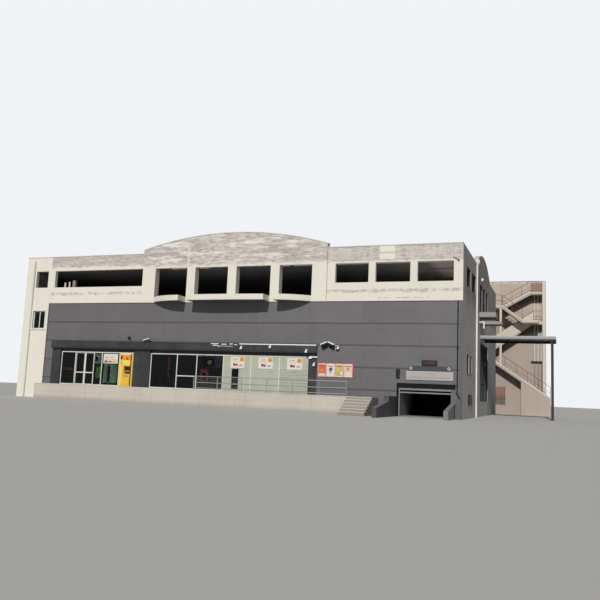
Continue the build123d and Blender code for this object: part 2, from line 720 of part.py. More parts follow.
with BuildPart() as side_shelf:
    block(
        HALF, HALF + SIDE_SHELF_OUT, SIDE_SHELF_START, SIDE_SHELF_START + SIDE_SHELF_LONG,
        SIDE_SHELF_TOP - SIDE_SHELF, SIDE_SHELF_TOP,
    )

canopy_right = HALF + CANOPY_OUT
with BuildPart() as canopy:
    block(HALF, canopy_right, CANOPY_START, CANOPY_END, CANOPY_TOP - CANOPY_EDGE, CANOPY_TOP)
    block(
        HALF, canopy_right - CANOPY_SHEET, CANOPY_START + CANOPY_SHEET, CANOPY_END - CANOPY_SHEET,
        CANOPY_TOP - CANOPY_EDGE, CANOPY_TOP - CANOPY_DECK, Mode.SUBTRACT,
    )

with BuildPart() as canopy_posts:
    post_right = canopy_right - CANOPY_POST_IN
    for y in (CANOPY_START + CANOPY_SHEET, CANOPY_END - CANOPY_SHEET - CANOPY_POST):
        block(post_right - CANOPY_POST, post_right, y, y + CANOPY_POST, 0, CANOPY_TOP - CANOPY_DECK)

# Rear stair of four flights, two in each lane, against its own tall wall
stair_plane = BACK + STAIR_BACK
rear_lane = (stair_plane - FLIGHT_WIDTH, stair_plane)
front_lane = (rear_lane[0] - FLIGHT_GAP - FLIGHT_WIDTH, rear_lane[0] - FLIGHT_GAP)
stair_left = HALF - STAIR_IN
landing_left = stair_left + STAIR_WALL
head_1 = landing_left + LANDING_1_LONG
foot_1 = head_1 + FLIGHT_1_LONG
head_2 = head_1 + FLIGHT_2_LONG
foot_3 = head_2 - REAR_TURN
head_3 = foot_3 - FLIGHT_3_LONG
left_3 = head_3 - LANDING_3_LONG
foot_4 = head_3 + FRONT_TURN
head_4 = foot_4 + FLIGHT_4_LONG
landing_right = head_2 + LANDING_2_LONG
stair_right = landing_right + STAIR_WALL
stair_top = LANDING_4 + STAIR_WALL_OVER
rail_top = stair_top + STAIR_RAIL_OVER
base_top = (
    STAIR_FOOT - FLIGHT_THICK + (LANDING_1 - STAIR_FOOT) * STAIR_FOOT_BLOCK / FLIGHT_1_LONG
)


def flight(foot, head, low, high, lane):
    """A straight flight of steps, as a stepped slab."""
    count = round((high - low) / STEP_HIGH)
    going = (head - foot) / count
    rise = (high - low) / count
    points = [(foot, low)]
    for i in range(count):
        points.append((foot + i * going, low + (i + 1) * rise))
        points.append((foot + (i + 1) * going, low + (i + 1) * rise))
    points.append((head, high - FLIGHT_THICK))
    points.append((foot, low - FLIGHT_THICK))
    with BuildSketch(Plane.XZ.offset(-lane[0])) as side:
        with BuildLine():
            Polyline(*points, close=True)
        make_face()
    extrude(side.sketch, amount=-(lane[1] - lane[0]))


def landing(front, rear, level):
    """A landing slab, with its own length in each lane."""
    low = level - LANDING_THICK
    block(*rear, *rear_lane, low, level)
    if front:
        left, right = max(front[0], rear[0]), min(front[1], rear[1])
        block(*front, *front_lane, low, level)
        block(left, right, front_lane[1], rear_lane[0], low, level)


with BuildPart() as front_flights:
    flight(foot_1, head_1, STAIR_FOOT, LANDING_1, front_lane)
    with BuildSketch(Plane.XZ.offset(-front_lane[0])) as base:
        with BuildLine():
            Polyline(
                (foot_1 - STAIR_FOOT_BLOCK, 0), (foot_1, 0), (foot_1, STAIR_FOOT - FLIGHT_THICK),
                (foot_1 - STAIR_FOOT_BLOCK, base_top), close=True,
            )
        make_face()
    extrude(base.sketch, amount=-FLIGHT_WIDTH)
    flight(foot_3, head_3, LANDING_2, LANDING_3, front_lane)

with BuildPart() as rear_flights:
    flight(head_1, head_2, LANDING_1, LANDING_2, rear_lane)
    flight(foot_4, head_4, LANDING_3, LANDING_4, rear_lane)

with BuildPart() as stair_landings:
    landing((landing_left, head_1), (landing_left, head_1), LANDING_1)
    landing((foot_3, head_2 + LANDING_2_TURN), (head_2, landing_right), LANDING_2)
    landing((left_3, head_3), (left_3, foot_4), LANDING_3)
    landing(None, (head_4, landing_right), LANDING_4)

with BuildPart() as stair_posts:
    span = (landing_right - head_2) / STAIR_POSTS
    for i in range(STAIR_POSTS):
        left = head_2 + i * span
        for low, high in ((0, LANDING_2), (LANDING_2, LANDING_4)):
            block(
                left, left + STAIR_POST, stair_plane - STAIR_POST, stair_plane,
                low, high - LANDING_THICK,
            )
    rise = (LANDING_1 - STAIR_FOOT) / round((LANDING_1 - STAIR_FOOT) / STEP_HIGH)
    block(
        head_3 - STAIR_COLUMN, head_3, front_lane[0], front_lane[0] + STAIR_COLUMN,
        STAIR_FOOT + (COLUMN_TREAD + 1) * rise, LANDING_3 - LANDING_THICK,
    )

with BuildPart() as stair_wall:
    block(stair_left, stair_right, stair_plane, stair_plane + STAIR_WALL, 0, stair_top)
    block(stair_left, landing_left, BACK, stair_plane, 0, LANDING_1)
    block(landing_right, stair_right, rear_lane[0], stair_plane, 0, stair_top)
    with BuildSketch(Plane.XZ.offset(-front_lane[1])) as spine:
        with BuildLine():
            Polyline(
                (landing_left, 0), (foot_1, 0),
                (foot_1, STAIR_FOOT - FLIGHT_THICK), (head_1, LANDING_1 - FLIGHT_THICK),
                (landing_left, LANDING_1 - FLIGHT_THICK), close=True,
            )
        make_face()
    extrude(spine.sketch, amount=-FLIGHT_GAP)

with BuildPart() as stair_rails:
    rail_front = rear_lane[0]
    wall_middle = stair_plane + STAIR_WALL / 2
    block(
        stair_left, stair_right, wall_middle, wall_middle + STAIR_RAIL,
        rail_top - STAIR_RAIL, rail_top,
    )
    for x in (stair_left, head_4, stair_right - STAIR_RAIL):
        block(
            x, x + STAIR_RAIL, wall_middle, wall_middle + STAIR_RAIL,
            stair_top, rail_top,
        )
    for level in (LANDING_4 + STAIR_RAIL, stair_top - STAIR_RAIL):
        block(
            head_4, landing_right, rail_front, rail_front + STAIR_RAIL,
            level, level + STAIR_RAIL,
        )
    for x in (head_4, landing_right - STAIR_RAIL):
        block(x, x + STAIR_RAIL, rail_front, rail_front + STAIR_RAIL, LANDING_4, stair_top)

# Export
nodes = {
    "front_left_bay": front_left_bay, "upper_wall_left": upper_wall_left,
    "central_wall": central_wall, "balcony_columns": balcony_columns,
    "upper_wall_right": upper_wall_right, "curved_balcony": curved_balcony,
    "front_wall_over": front_wall_over, "front_wall_base": front_wall_base,
    "front_wall_lower": front_wall_lower, "side_wall_right": side_wall_right,
    "side_wall_left": side_wall_left, "rear_wall": rear_wall, "shop_floor": shop_floor,
    "upper_floor": upper_floor, "roof_slab": roof_slab, "grey_cladding": grey_cladding,
    "shop_piers": shop_piers, "shop_fascia": shop_fascia, "shop_head": shop_head,
    "entrance_frame": entrance_frame, "entrance_glass": entrance_glass,
    "cash_machine": cash_machine, "door_leaf_left": door_leaf_left,
    "door_glass_left": door_glass_left, "door_leaf_right": door_leaf_right,
    "door_glass_right": door_glass_right, "door_track": door_track,
    "display_frame": display_frame, "display_glass": display_glass,
    "shop_shutters": shop_shutters, "notice_boards": notice_boards,
    "front_terrace": front_terrace, "front_steps": front_steps, "handrail": handrail,
    "shutter_box": shutter_box, "shutter_guides": shutter_guides, "ramp_shaft": ramp_shaft,
    "ramp_floor": ramp_floor, "ramp_cheeks": ramp_cheeks, "garage_signs": garage_signs,
    "wall_boxes": wall_boxes, "bay_window": bay_window, "window_panes": window_panes,
    "loading_door": loading_door, "downpipes": downpipes, "side_balcony": side_balcony,
    "canopy": canopy, "canopy_posts": canopy_posts, "front_flights": front_flights,
    "rear_flights": rear_flights, "stair_landings": stair_landings, "stair_posts": stair_posts,
    "stair_wall": stair_wall, "stair_rails": stair_rails, "side_shelf": side_shelf,
}

os.makedirs("parts", exist_ok=True)
for name, piece in nodes.items():
    piece.part.label = name
    export_step(piece.part, f"parts/{name}.step")
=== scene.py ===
import math

import bmesh
import bpy
from mathutils import Matrix, Vector


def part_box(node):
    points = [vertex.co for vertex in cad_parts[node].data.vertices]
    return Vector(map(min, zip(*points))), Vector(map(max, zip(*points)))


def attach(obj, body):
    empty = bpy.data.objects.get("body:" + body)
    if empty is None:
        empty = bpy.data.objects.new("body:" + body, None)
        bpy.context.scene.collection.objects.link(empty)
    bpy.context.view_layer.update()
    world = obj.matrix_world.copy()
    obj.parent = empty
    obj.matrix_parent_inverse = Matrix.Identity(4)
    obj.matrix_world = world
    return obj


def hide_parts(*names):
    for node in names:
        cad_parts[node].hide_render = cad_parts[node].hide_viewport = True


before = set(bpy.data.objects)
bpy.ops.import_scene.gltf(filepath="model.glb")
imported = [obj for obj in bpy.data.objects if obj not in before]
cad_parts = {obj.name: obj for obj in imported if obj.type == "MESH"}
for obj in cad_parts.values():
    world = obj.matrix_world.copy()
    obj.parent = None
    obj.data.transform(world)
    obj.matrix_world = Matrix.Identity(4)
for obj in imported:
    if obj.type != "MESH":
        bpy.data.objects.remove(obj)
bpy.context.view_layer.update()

# Upper storey, front
# Cement render with cream paint. The parapets have peeled to grey-pink render in level streaks,
# and a mended crack runs below each row of openings. The material helpers are first used here.
CREAM = (0.77, 0.745, 0.66)
BARE_RENDER = (0.36, 0.325, 0.315)
BARE_PALE = (0.66, 0.625, 0.60)
STAIN = (0.30, 0.27, 0.23)


def shader(name, roughness=0.6, metallic=0.0):
    """A new material, its node tree and its Principled shader."""
    made = bpy.data.materials.new(name)
    made.use_nodes = True
    principled = made.node_tree.nodes["Principled BSDF"]
    principled.inputs["Roughness"].default_value = roughness
    principled.inputs["Metallic"].default_value = metallic
    return made, made.node_tree, principled


def add(tree, kind, **settings):
    """A node with its settings and, by name or number, its plain inputs."""
    made = tree.nodes.new(kind)
    for key, value in settings.items():
        if key == "plain":
            for socket, number in value.items():
                made.inputs[socket].default_value = number
        else:
            setattr(made, key, value)
    return made


def feed(made, socket, value):
    """An input of a node takes a number, a colour or the output of another node."""
    if isinstance(value, (int, float)):
        made.inputs[socket].default_value = value
    elif isinstance(value, tuple):
        made.inputs[socket].default_value = (*value, 1.0)
    else:
        made.id_data.links.new(value, made.inputs[socket])


def position(tree, stretch=(1, 1, 1), turn=0):
    """The place on the building in metres, stretched and turned about X by degrees."""
    made = add(
        tree, "ShaderNodeMapping", plain={"Scale": stretch, "Rotation": (math.radians(turn), 0, 0)},
    )
    feed(made, "Vector", add(tree, "ShaderNodeTexCoord").outputs["Object"])
    return made.outputs["Vector"]


def noise(tree, scale, detail=4.0, roughness=0.55, stretch=(1, 1, 1)):
    """A cloud of values about 0.5; its scale is a number or a socket."""
    made = add(tree, "ShaderNodeTexNoise", plain={"Detail": detail, "Roughness": roughness})
    feed(made, "Scale", scale)
    feed(made, "Vector", position(tree, stretch))
    return made.outputs["Fac"]


def ramp(value, low, high, start=0.0, end=1.0):
    """A value mapped smoothly from low to high onto start to end."""
    made = add(
        value.id_data, "ShaderNodeMapRange", interpolation_type="SMOOTHSTEP",
        plain={"From Min": low, "From Max": high, "To Min": start, "To Max": end},
    )
    feed(made, "Value", value)
    return made.outputs["Result"]


def maths(operation, *values):
    """Values, one at least a socket, joined by a sum, product or the like."""
    tree = next(value for value in values if hasattr(value, "id_data")).id_data
    made = add(tree, "ShaderNodeMath", operation=operation)
    for socket, value in enumerate(values):
        feed(made, socket, value)
    return made.outputs["Value"]


def times(*values):
    """The product of several masks."""
    product = values[0]
    for value in values[1:]:
        product = maths("MULTIPLY", product, value)
    return product


def mix(factor, first, second):
    """One colour over another by a factor."""
    made = add(factor.id_data, "ShaderNodeMix", data_type="RGBA")
    for socket, value in ((0, factor), (6, first), (7, second)):
        feed(made, socket, value)
    return made.outputs[2]


def over(factor, tone):
    """A tone laid over the colour that the mask's own finish has so far."""
    principled = factor.id_data.nodes["Principled BSDF"]
    colour = principled.inputs["Base Color"].links[0].from_socket
    feed(principled, "Base Color", mix(factor, colour, tone))


def axis_of(tree, axis):
    """One coordinate of the place on the building."""
    split = add(tree, "ShaderNodeSeparateXYZ")
    feed(split, "Vector", position(tree))
    return split.outputs[axis]


def fade(tree, axis, low, high, start=0.0, end=1.0):
    """A ramp along one axis of the building."""
    return ramp(axis_of(tree, axis), low, high, start, end)


def between(tree, axis, low, high, soft=0.01):
    """A mask that is one between two levels of a coordinate."""
    value = axis_of(tree, axis)
    return times(ramp(value, low - soft, low + soft), ramp(value, high - soft, high + soft, 1, 0))


def looking_up(tree, low, high, start=0.0, end=1.0):
    """A ramp by how far a face is turned up."""
    split = add(tree, "ShaderNodeSeparateXYZ")
    feed(split, "Vector", add(tree, "ShaderNodeNewGeometry").outputs["Normal"])
    return ramp(split.outputs["Z"], low, high, start, end)


def courses(tree, long, high, joint):
    """The joints of courses laid along X."""
    made = add(
        tree, "ShaderNodeTexBrick",
        plain={"Scale": 1.0, "Mortar Size": joint, "Brick Width": long, "Row Height": high},
    )
    feed(made, "Vector", position(tree, turn=90))
    return made.outputs["Fac"]


def relief(principled, height, strength, distance):
    """Bump from a height, on the shader's normal."""
    made = add(
        principled.id_data, "ShaderNodeBump", plain={"Strength": strength, "Distance": distance},
    )
    feed(made, "Height", height)
    feed(principled, "Normal", made.outputs["Normal"])


def make_group(name, ins, outs):
    """An empty shader group with its sockets, and its two end nodes."""
    group = bpy.data.node_groups.new(name, "ShaderNodeTree")
    for label, kind, value in ins:
        made = group.interface.new_socket(label, in_out="INPUT", socket_type="NodeSocket" + kind)
        made.default_value = value
    for label, kind in outs:
        group.interface.new_socket(label, in_out="OUTPUT", socket_type="NodeSocket" + kind)
    return group, group.nodes.new("NodeGroupInput"), group.nodes.new("NodeGroupOutput")


wear_group, given, result = make_group(
    "Wall wear", [("Colour", "Color", (0.5, 0.5, 0.5, 1)), ("Grime", "Float", 0.4)],
    [("Colour", "Color"), ("Height", "Float")],
)
cloud = noise(wear_group, 0.45, 6)
runs = noise(wear_group, 1.3, 5, stretch=(2.4, 2.4, 0.16))
grain = noise(wear_group, 38, 3)
dirt = maths("ADD", ramp(cloud, 0.42, 0.72), ramp(runs, 0.50, 0.74))
dirt = times(dirt, given.outputs["Grime"], 0.5)
darker = mix(dirt, given.outputs["Colour"], STAIN)
feed(result, "Colour", mix(ramp(grain, 0.35, 0.75, 0.0, 0.10), darker, (0.05, 0.05, 0.05)))
feed(result, "Height", maths("ADD", times(cloud, 0.6), grain))

peel_group, given, result = make_group(
    "Peeled paint",
    [
        ("Colour", "Color", (0.5, 0.5, 0.5, 1)), ("Start", "Float", 9.0), ("Amount", "Float", 0.1),
        ("Crack level", "Float", 7.2), ("Crack", "Float", 0.0),
    ],
    [("Colour", "Color"), ("Bare", "Float")],
)
level = axis_of(peel_group, "Z")
streaks = noise(peel_group, 1.0, 9, 0.70, (0.55, 0.55, 6.0))
fine = noise(peel_group, 1.3, 8, 0.70, (1.9, 1.9, 9.0))
patches = noise(peel_group, 1.5, 9, 0.74, (1.2, 1.2, 2.6))
cover = maths("ADD", times(streaks, 0.40), times(patches, 0.60))
reach = maths("SUBTRACT", level, given.outputs["Start"])
reach = maths("ADD", reach, times(maths("SUBTRACT", patches, 0.5), 0.9))
peeled = maths("ADD", cover, given.outputs["Amount"])
bare = times(ramp(peeled, 0.52, 0.60), ramp(reach, 0.02, 0.16))
tone = mix(ramp(fine, 0.40, 0.60), BARE_RENDER, BARE_PALE)
tone = mix(ramp(streaks, 0.44, 0.62, 0.0, 0.55), tone, (0.68, 0.65, 0.62))
tone = mix(ramp(noise(peel_group, 0.8, 5), 0.52, 0.72, 0.0, 0.4), tone, (0.56, 0.48, 0.38))
colour = mix(bare, given.outputs["Colour"], tone)
wobble = times(maths("SUBTRACT", noise(peel_group, 1.6, 8, 0.7), 0.5), 0.42)
off = maths("SUBTRACT", maths("ADD", level, wobble), given.outputs["Crack level"])
line = ramp(maths("ABSOLUTE", off), 0.02, 0.15, 1.0, 0.0)
ragged = ramp(noise(peel_group, 5.0, 8, 0.8, (1, 1, 0.5)), 0.36, 0.60)
broken = ramp(noise(peel_group, 1.0, 3, stretch=(1.1, 1.1, 0.2)), 0.30, 0.46)
crack = times(line, ragged, broken, given.outputs["Crack"])
feed(result, "Colour", mix(crack, colour, (0.27, 0.26, 0.245)))
feed(result, "Bare", bare)


def wall_paint(name, colour, grime, roughness=0.85):
    """A render or concrete finish with the shared wear, and its tree."""
    made, tree, principled = shader(name, roughness)
    given = {"Colour": (*colour, 1), "Grime": grime}
    wear = add(tree, "ShaderNodeGroup", node_tree=wear_group, plain=given)
    feed(principled, "Base Color", wear.outputs["Colour"])
    relief(principled, wear.outputs["Height"], 0.35, 0.004)
    return made, tree


def peeling_paint(name, start, amount, crack=0.0, crack_level=7.2):
    """Cream paint that has peeled above a level, with a mended crack lower down."""
    made, tree = wall_paint(name, CREAM, 0.13)
    peel = add(
        tree, "ShaderNodeGroup", node_tree=peel_group,
        plain={"Start": start, "Amount": amount, "Crack level": crack_level, "Crack": crack},
    )
    principled = tree.nodes["Principled BSDF"]
    feed(peel, "Colour", principled.inputs["Base Color"].links[0].from_socket)
    feed(principled, "Base Color", peel.outputs["Colour"])
    return made, tree


def finish(material, *nodes):
    """CAD nodes take their finished material."""
    for node in nodes:
        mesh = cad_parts[node].data
        mesh.materials.clear()
        mesh.materials.append(material)


left_paint, tree = peeling_paint("Left wing paint", 9.07, 0.17, 0.72, 7.26)
greyer = ramp(noise(tree, 1.0, 7, 0.65, (0.5, 0.5, 2.2)), 0.40, 0.60, 0.15, 0.65)
over(times(greyer, fade(tree, "Z", 9.1, 9.35)), (0.38, 0.36, 0.355))
finish(left_paint, "upper_wall_left")

centre_paint, tree = peeling_paint("Central wall paint", 8.96, 0.14)
bands = noise(tree, 1.0, 8, 0.7, (0.45, 0.45, 3.2))
high = fade(tree, "Z", 9.05, 9.35)
sides = maths("SUBTRACT", 1.0, times(between(tree, "X", -1.4, 2.8, 0.9), 0.8))
over(times(ramp(bands, 0.44, 0.52, 1.0, 0.0), high, sides, 0.55), (0.33, 0.30, 0.285))
over(times(ramp(bands, 0.53, 0.60), high, 0.75), (0.83, 0.79, 0.74))
ochre = times(
    ramp(noise(tree, 1.0, 6, 0.7, (1.1, 1.1, 2.0)), 0.58, 0.66), high,
    fade(tree, "Z", 9.7, 10.1, 1, 0), 0.6,
)
over(ochre, (0.50, 0.41, 0.30))
# A dark line along the right wing's joint, above 6.7 m, is painted shadow where the wing meets the
# central wall.
end_joint_shadow = times(between(tree, "X", 7.385, 7.44, 0.005), fade(tree, "Z", 6.6, 6.7))
over(times(end_joint_shadow, 0.7), (0.20, 0.18, 0.16))
old_seam = times(between(tree, "X", -2.32, -2.14, 0.05), between(tree, "Z", 8.9, 10.3, 0.2))
over(times(old_seam, 0.7), (0.72, 0.70, 0.67))
finish(centre_paint, "central_wall")

right_paint, tree = peeling_paint("Right wing paint", 8.93, 0.14, 0.66, 7.21)
drips = ramp(noise(tree, 1.0, 6, 0.7, (5.5, 5.5, 0.9)), 0.46, 0.56)
drips = times(drips, fade(tree, "Z", 9.0, 9.3), fade(tree, "Z", 9.75, 9.9, 1, 0))
over(times(drips, 0.5), (0.74, 0.70, 0.63))
over(fade(tree, "Z", 8.95, 9.05, 0.0, 0.28), (0.42, 0.37, 0.345))
low_crack = times(
    between(tree, "Z", 6.77, 6.82, 0.03), between(tree, "X", 10.3, 15.1, 0.2),
    ramp(noise(tree, 2.0, 6, 0.7, (1.6, 1.6, 1.0)), 0.48, 0.54),
)
over(times(low_crack, 0.7), (0.24, 0.23, 0.22))
for low, high in ((9.08, 9.42), (9.53, 9.89)):
    fresh = times(between(tree, "X", 10.66, 11.57, 0.03), between(tree, "Z", low, high, 0.03))
    over(times(fresh, 0.9), (0.80, 0.77, 0.66))
finish(right_paint, "upper_wall_right")

plain_paint, tree = peeling_paint("Bay and column paint", 9.5, -0.20)
finish(plain_paint, "front_left_bay", "balcony_columns")

balcony_paint, tree = wall_paint("Balcony paint", CREAM, 0.22)
over(times(between(tree, "Z", 6.60, 6.68, 0.03), 0.25), (0.45, 0.42, 0.38))
# The soffit is painted near black: painted shade under the balcony.
balcony_soffit_shade = between(tree, "Z", 6.0, 6.615, 0.004)
over(balcony_soffit_shade, (0.10, 0.10, 0.105))
finish(balcony_paint, "curved_balcony")


def piece(material, body="building", ending=""):
    """A function that models a bmesh becomes a finished piece of its name, on its body."""

    def build(fill):
        name = fill.__name__ + ending
        shape = bmesh.new()
        fill(shape)
        shape.normal_update()
        mesh = bpy.data.meshes.new(name)
        shape.to_mesh(mesh)
        shape.free()
        mesh.materials.append(material)
        made = bpy.data.objects.new(name, mesh)
        bpy.context.scene.collection.objects.link(made)
        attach(made, body)
        return made

    return build


def soften(shape, verts, soft):
    """Round the edges of one bar."""
    if soft:
        edges = {edge for vert in verts for edge in vert.link_edges}
        bmesh.ops.bevel(
            shape, geom=list(edges), offset=soft, segments=2, profile=0.5, affect="EDGES",
            material=-1,
        )


def bar(shape, low, high, soft=0.0):
    """A straight bar or board between two corners, its edges softened."""
    low, high = Vector(low), Vector(high)
    verts = bmesh.ops.create_cube(shape, size=1.0)["verts"]
    bmesh.ops.scale(shape, vec=high - low, verts=verts)
    bmesh.ops.translate(shape, vec=(low + high) / 2, verts=verts)
    soften(shape, verts, soft)


def boards(shape, near, far, soft, *rows):
    """Bars between two planes that face the front; a row is left, right, low and high."""
    for left, right, low, high in rows:
        bar(shape, (left, near, low), (right, far, high), soft)


def tube(shape, start, end, radius, sides=12, far_radius=None):
    """A round tube or rod from one point to another, or a taper."""
    start, end = Vector(start), Vector(end)
    along = end - start
    turn = along.to_track_quat("Z", "Y").to_matrix().to_4x4()
    bmesh.ops.create_cone(
        shape, cap_ends=True, segments=sides, radius1=radius,
        radius2=radius if far_radius is None else far_radius,
        depth=along.length, matrix=Matrix.Translation((start + end) / 2) @ turn,
    )


def beam(shape, start, end, wide, deep, soft=0.0):
    """A square-edged bar from one point to another, its depth nearest upright."""
    start, end = Vector(start), Vector(end)
    along = end - start
    turn = along.to_track_quat("X", "Z").to_matrix().to_4x4()
    size = Matrix.Diagonal((along.length, wide, deep, 1))
    verts = bmesh.ops.create_cube(
        shape, size=1.0, matrix=Matrix.Translation((start + end) / 2) @ turn @ size,
    )["verts"]
    soften(shape, verts, soft)


# Copings
# A painted cement cap on the wings, the sides, the rear and the arched parapets, a little wider
# than the wall below it.
COPING_OVER = 0.03
COPING_THICK = 0.06
CAP_HALF = 0.155
SPRING_FRONT = 10.15
ARC_STEPS = 48
wing_low, wing_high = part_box("upper_wall_left")
mid_low, mid_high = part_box("central_wall")
right_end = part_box("upper_wall_right")[1].x
left_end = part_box("front_left_bay")[0].x
side_low, side_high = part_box("side_wall_right")
rear_low, rear_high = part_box("rear_wall")
FACE = wing_low.y
INNER = wing_high.y
PARAPET = wing_high.z
SIDE_ARCH = (6.5, 15.0)
CAP_MIDDLE = FACE + 0.125
SIDE_MIDDLE = side_low.x + 0.12
CAP_EDGE = 0.012

coping_paint, tree = wall_paint("Coping paint", (0.70, 0.68, 0.62), 0.5)


@piece(coping_paint)
def level_copings(shape):
    front, back = FACE - COPING_OVER, INNER + COPING_OVER
    top = PARAPET + COPING_THICK
    for left, right in ((left_end, mid_low.x), (mid_high.x, right_end)):
        bar(shape, (left, front, PARAPET), (right, back, top), CAP_EDGE)
    inside = side_low.x - COPING_OVER
    for left, right in ((-side_high.x, -inside), (inside, side_high.x)):
        for start, end in ((back, SIDE_ARCH[0]), (SIDE_ARCH[1], rear_high.y)):
            bar(shape, (left, start, PARAPET), (right, end, top), CAP_EDGE)
    start = rear_low.y - COPING_OVER
    bar(shape, (-inside, start, PARAPET), (inside, rear_high.y, top), CAP_EDGE)


def arched_cap(shape, start, crown, axis):
    """A cap swept along a shallow arc that rises from its start to a crown, across an axis."""
    start, crown = Vector(start), Vector(crown)
    half = (crown - start).dot(Vector((1, 1, 0)) - axis)
    rise = crown.z - start.z
    radius = (half ** 2 + rise ** 2) / (2 * rise)
    centre = Vector((crown.x, crown.y, crown.z - radius))
    out = (start - centre)
    out -= out.dot(axis) * axis
    out.normalize()
    across = axis * CAP_HALF
    ring = [
        shape.verts.new(point) for point in (
            start - across, start + across, start + across + out * COPING_THICK,
            start - across + out * COPING_THICK,
        )
    ]
    face = shape.faces.new(ring)
    sense = 1 if axis.y else -1
    bmesh.ops.spin(
        shape, geom=[face], cent=centre, axis=axis, angle=sense * 2 * math.asin(half / radius),
        steps=ARC_STEPS, use_merge=False, use_duplicate=False,
    )
    bmesh.ops.recalc_face_normals(shape, faces=shape.faces)


@piece(coping_paint)
def front_arch_coping(shape):
    middle = (mid_low.x + mid_high.x) / 2
    start = (mid_low.x, CAP_MIDDLE, SPRING_FRONT)
    arched_cap(shape, start, (middle, CAP_MIDDLE, mid_high.z), Vector((0, 1, 0)))


@piece(coping_paint)
def side_arch_copings(shape):
    middle = sum(SIDE_ARCH) / 2
    for x in (SIDE_MIDDLE, -SIDE_MIDDLE):
        start = (x, SIDE_ARCH[0], PARAPET)
        arched_cap(shape, start, (x, middle, side_high.z), Vector((1, 0, 0)))


# White plastic and other coats
# Factory finishes on sheet, castings and mouldings share one worn coat: two tones in clouds, a
# roughness that varies with them, and a faint orange peel.
coat_group, given, result = make_group(
    "Coat wear",
    [
        ("First", "Color", (0.5, 0.5, 0.5, 1)), ("Second", "Color", (0.4, 0.4, 0.4, 1)),
        ("Scale", "Float", 4.0),
    ],
    [("Colour", "Color"), ("Mask", "Float"), ("Height", "Float")],
)
cloud = ramp(noise(coat_group, given.outputs["Scale"], 5), 0.32, 0.74)
drops = noise(coat_group, given.outputs["Scale"], 5, stretch=(4.0, 4.0, 0.35))
tone = mix(cloud, given.outputs["First"], given.outputs["Second"])
feed(result, "Colour", mix(ramp(drops, 0.55, 0.80, 0.0, 0.10), tone, (0.22, 0.20, 0.18)))
feed(result, "Mask", cloud)
feed(result, "Height", maths("ADD", noise(coat_group, 60, 2), times(cloud, 0.4)))


def coated(
    name, first, second, scale=4.0, satin=(0.35, 0.50), metallic=0.0, bump=0.08, gloss=0.5,
):
    """A coated, plated or moulded finish with the shared coat wear, and its tree."""
    made, tree, principled = shader(name, satin[0], metallic)
    principled.inputs["Specular IOR Level"].default_value = gloss
    coat = add(
        tree, "ShaderNodeGroup", node_tree=coat_group,
        plain={"First": (*first, 1), "Second": (*second, 1), "Scale": scale},
    )
    feed(principled, "Base Color", coat.outputs["Colour"])
    feed(principled, "Roughness", ramp(coat.outputs["Mask"], 0.0, 1.0, *satin))
    relief(principled, coat.outputs["Height"], bump, 0.002)
    return made, tree


white_plastic, _ = coated(
    "White plastic", (0.80, 0.80, 0.77), (0.66, 0.65, 0.61), 6.0, (0.40, 0.55),
)

# Inside the upper storey
# The storey was never fitted out: a raw concrete ceiling, a brick post and two short pipes stand
# behind the left openings, and pale battens are left under the heads.
raw_ceiling, tree = wall_paint("Raw ceiling", (0.20, 0.195, 0.21), 0.2, 0.9)
over(fade(tree, "X", 6.5, 8.0), (0.34, 0.325, 0.32))
over(fade(tree, "Y", 0.15, 0.9, 1.0, 0.0), (0.15, 0.135, 0.12))
# In the third bay near the right side windows the ceiling is painted near white: painted light from
# those windows.
third_bay_light = times(
    fade(tree, "X", 13.1, 14.0), fade(tree, "Y", 5.7, 6.1, 1, 0),
    maths("SUBTRACT", 1.0, between(tree, "Y", 2.3, 2.7, 0.05)),
)
over(third_bay_light, (0.88, 0.84, 0.78))
over(fade(tree, "Z", 9.20, 9.24), (0.36, 0.35, 0.34))
finish(raw_ceiling, "roof_slab")

floor_inside, tree = wall_paint("Raw floor", (0.20, 0.19, 0.18), 0.3, 0.9)
# The floor of the third bay is painted near white: painted light that brightens the ceiling above
# it.
third_bay_floor_light = times(fade(tree, "X", 11.0, 12.0), fade(tree, "Y", 6.0, 8.0, 1, 0))
over(third_bay_floor_light, (0.80, 0.77, 0.72))
# Below 6.6 m, which is the shop's ceiling, the slab is painted near black: painted shade.
over(fade(tree, "Z", 6.60, 6.62, 1.0, 0.0), (0.02, 0.02, 0.024))
finish(floor_inside, "upper_floor")

UPPER_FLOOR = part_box("upper_floor")[1].z
HEAD = 8.912
brick, tree = wall_paint("Clay brick", (0.36, 0.20, 0.16), 0.3)
over(courses(tree, 0.25, 0.08, 0.008), (0.45, 0.42, 0.38))


@piece(brick)
def brick_post(shape):
    bar(shape, (-12.11, 0.72, UPPER_FLOOR), (-11.89, 0.94, 8.36), 0.006)


@piece(white_plastic)
def pipe_stubs(shape):
    for x, top in ((-12.74, 8.20), (-12.36, 8.24)):
        tube(shape, (x, 0.72, UPPER_FLOOR), (x, 0.72, top), 0.06, 16)
        tube(shape, (x, 0.72, top - 0.06), (x, 0.72, top), 0.072, 16)


@piece(white_plastic)
def head_battens(shape):
    boards(
        shape, -0.02, 0.05, 0.006, (-3.48, -2.42, 8.84, HEAD), (-1.42, -0.72, 8.84, HEAD),
        (4.41, 4.93, 8.85, HEAD), (5.15, 6.36, 8.85, HEAD),
    )
    for left in (7.95, 10.44, 12.92):
        bar(shape, (left, 0.02, 8.86), (left + 2.04, 0.06, HEAD), 0.006)


# Bracket on the right parapet
# A short rusted steel angle, fixed to the render near the right corner.
rusty_steel, _ = coated(
    "Rusted steel", (0.10, 0.085, 0.075), (0.17, 0.12, 0.09), 9.0, (0.6, 0.8), 0.3, 0.2,
)


@piece(rusty_steel)
def parapet_bracket(shape):
    beam(shape, (14.96, FACE - 0.10, 9.12), (15.26, FACE - 0.03, 8.90), 0.03, 0.03)
    bar(shape, (15.21, FACE - 0.05, 8.84), (15.30, FACE + 0.01, 8.96), 0.004)


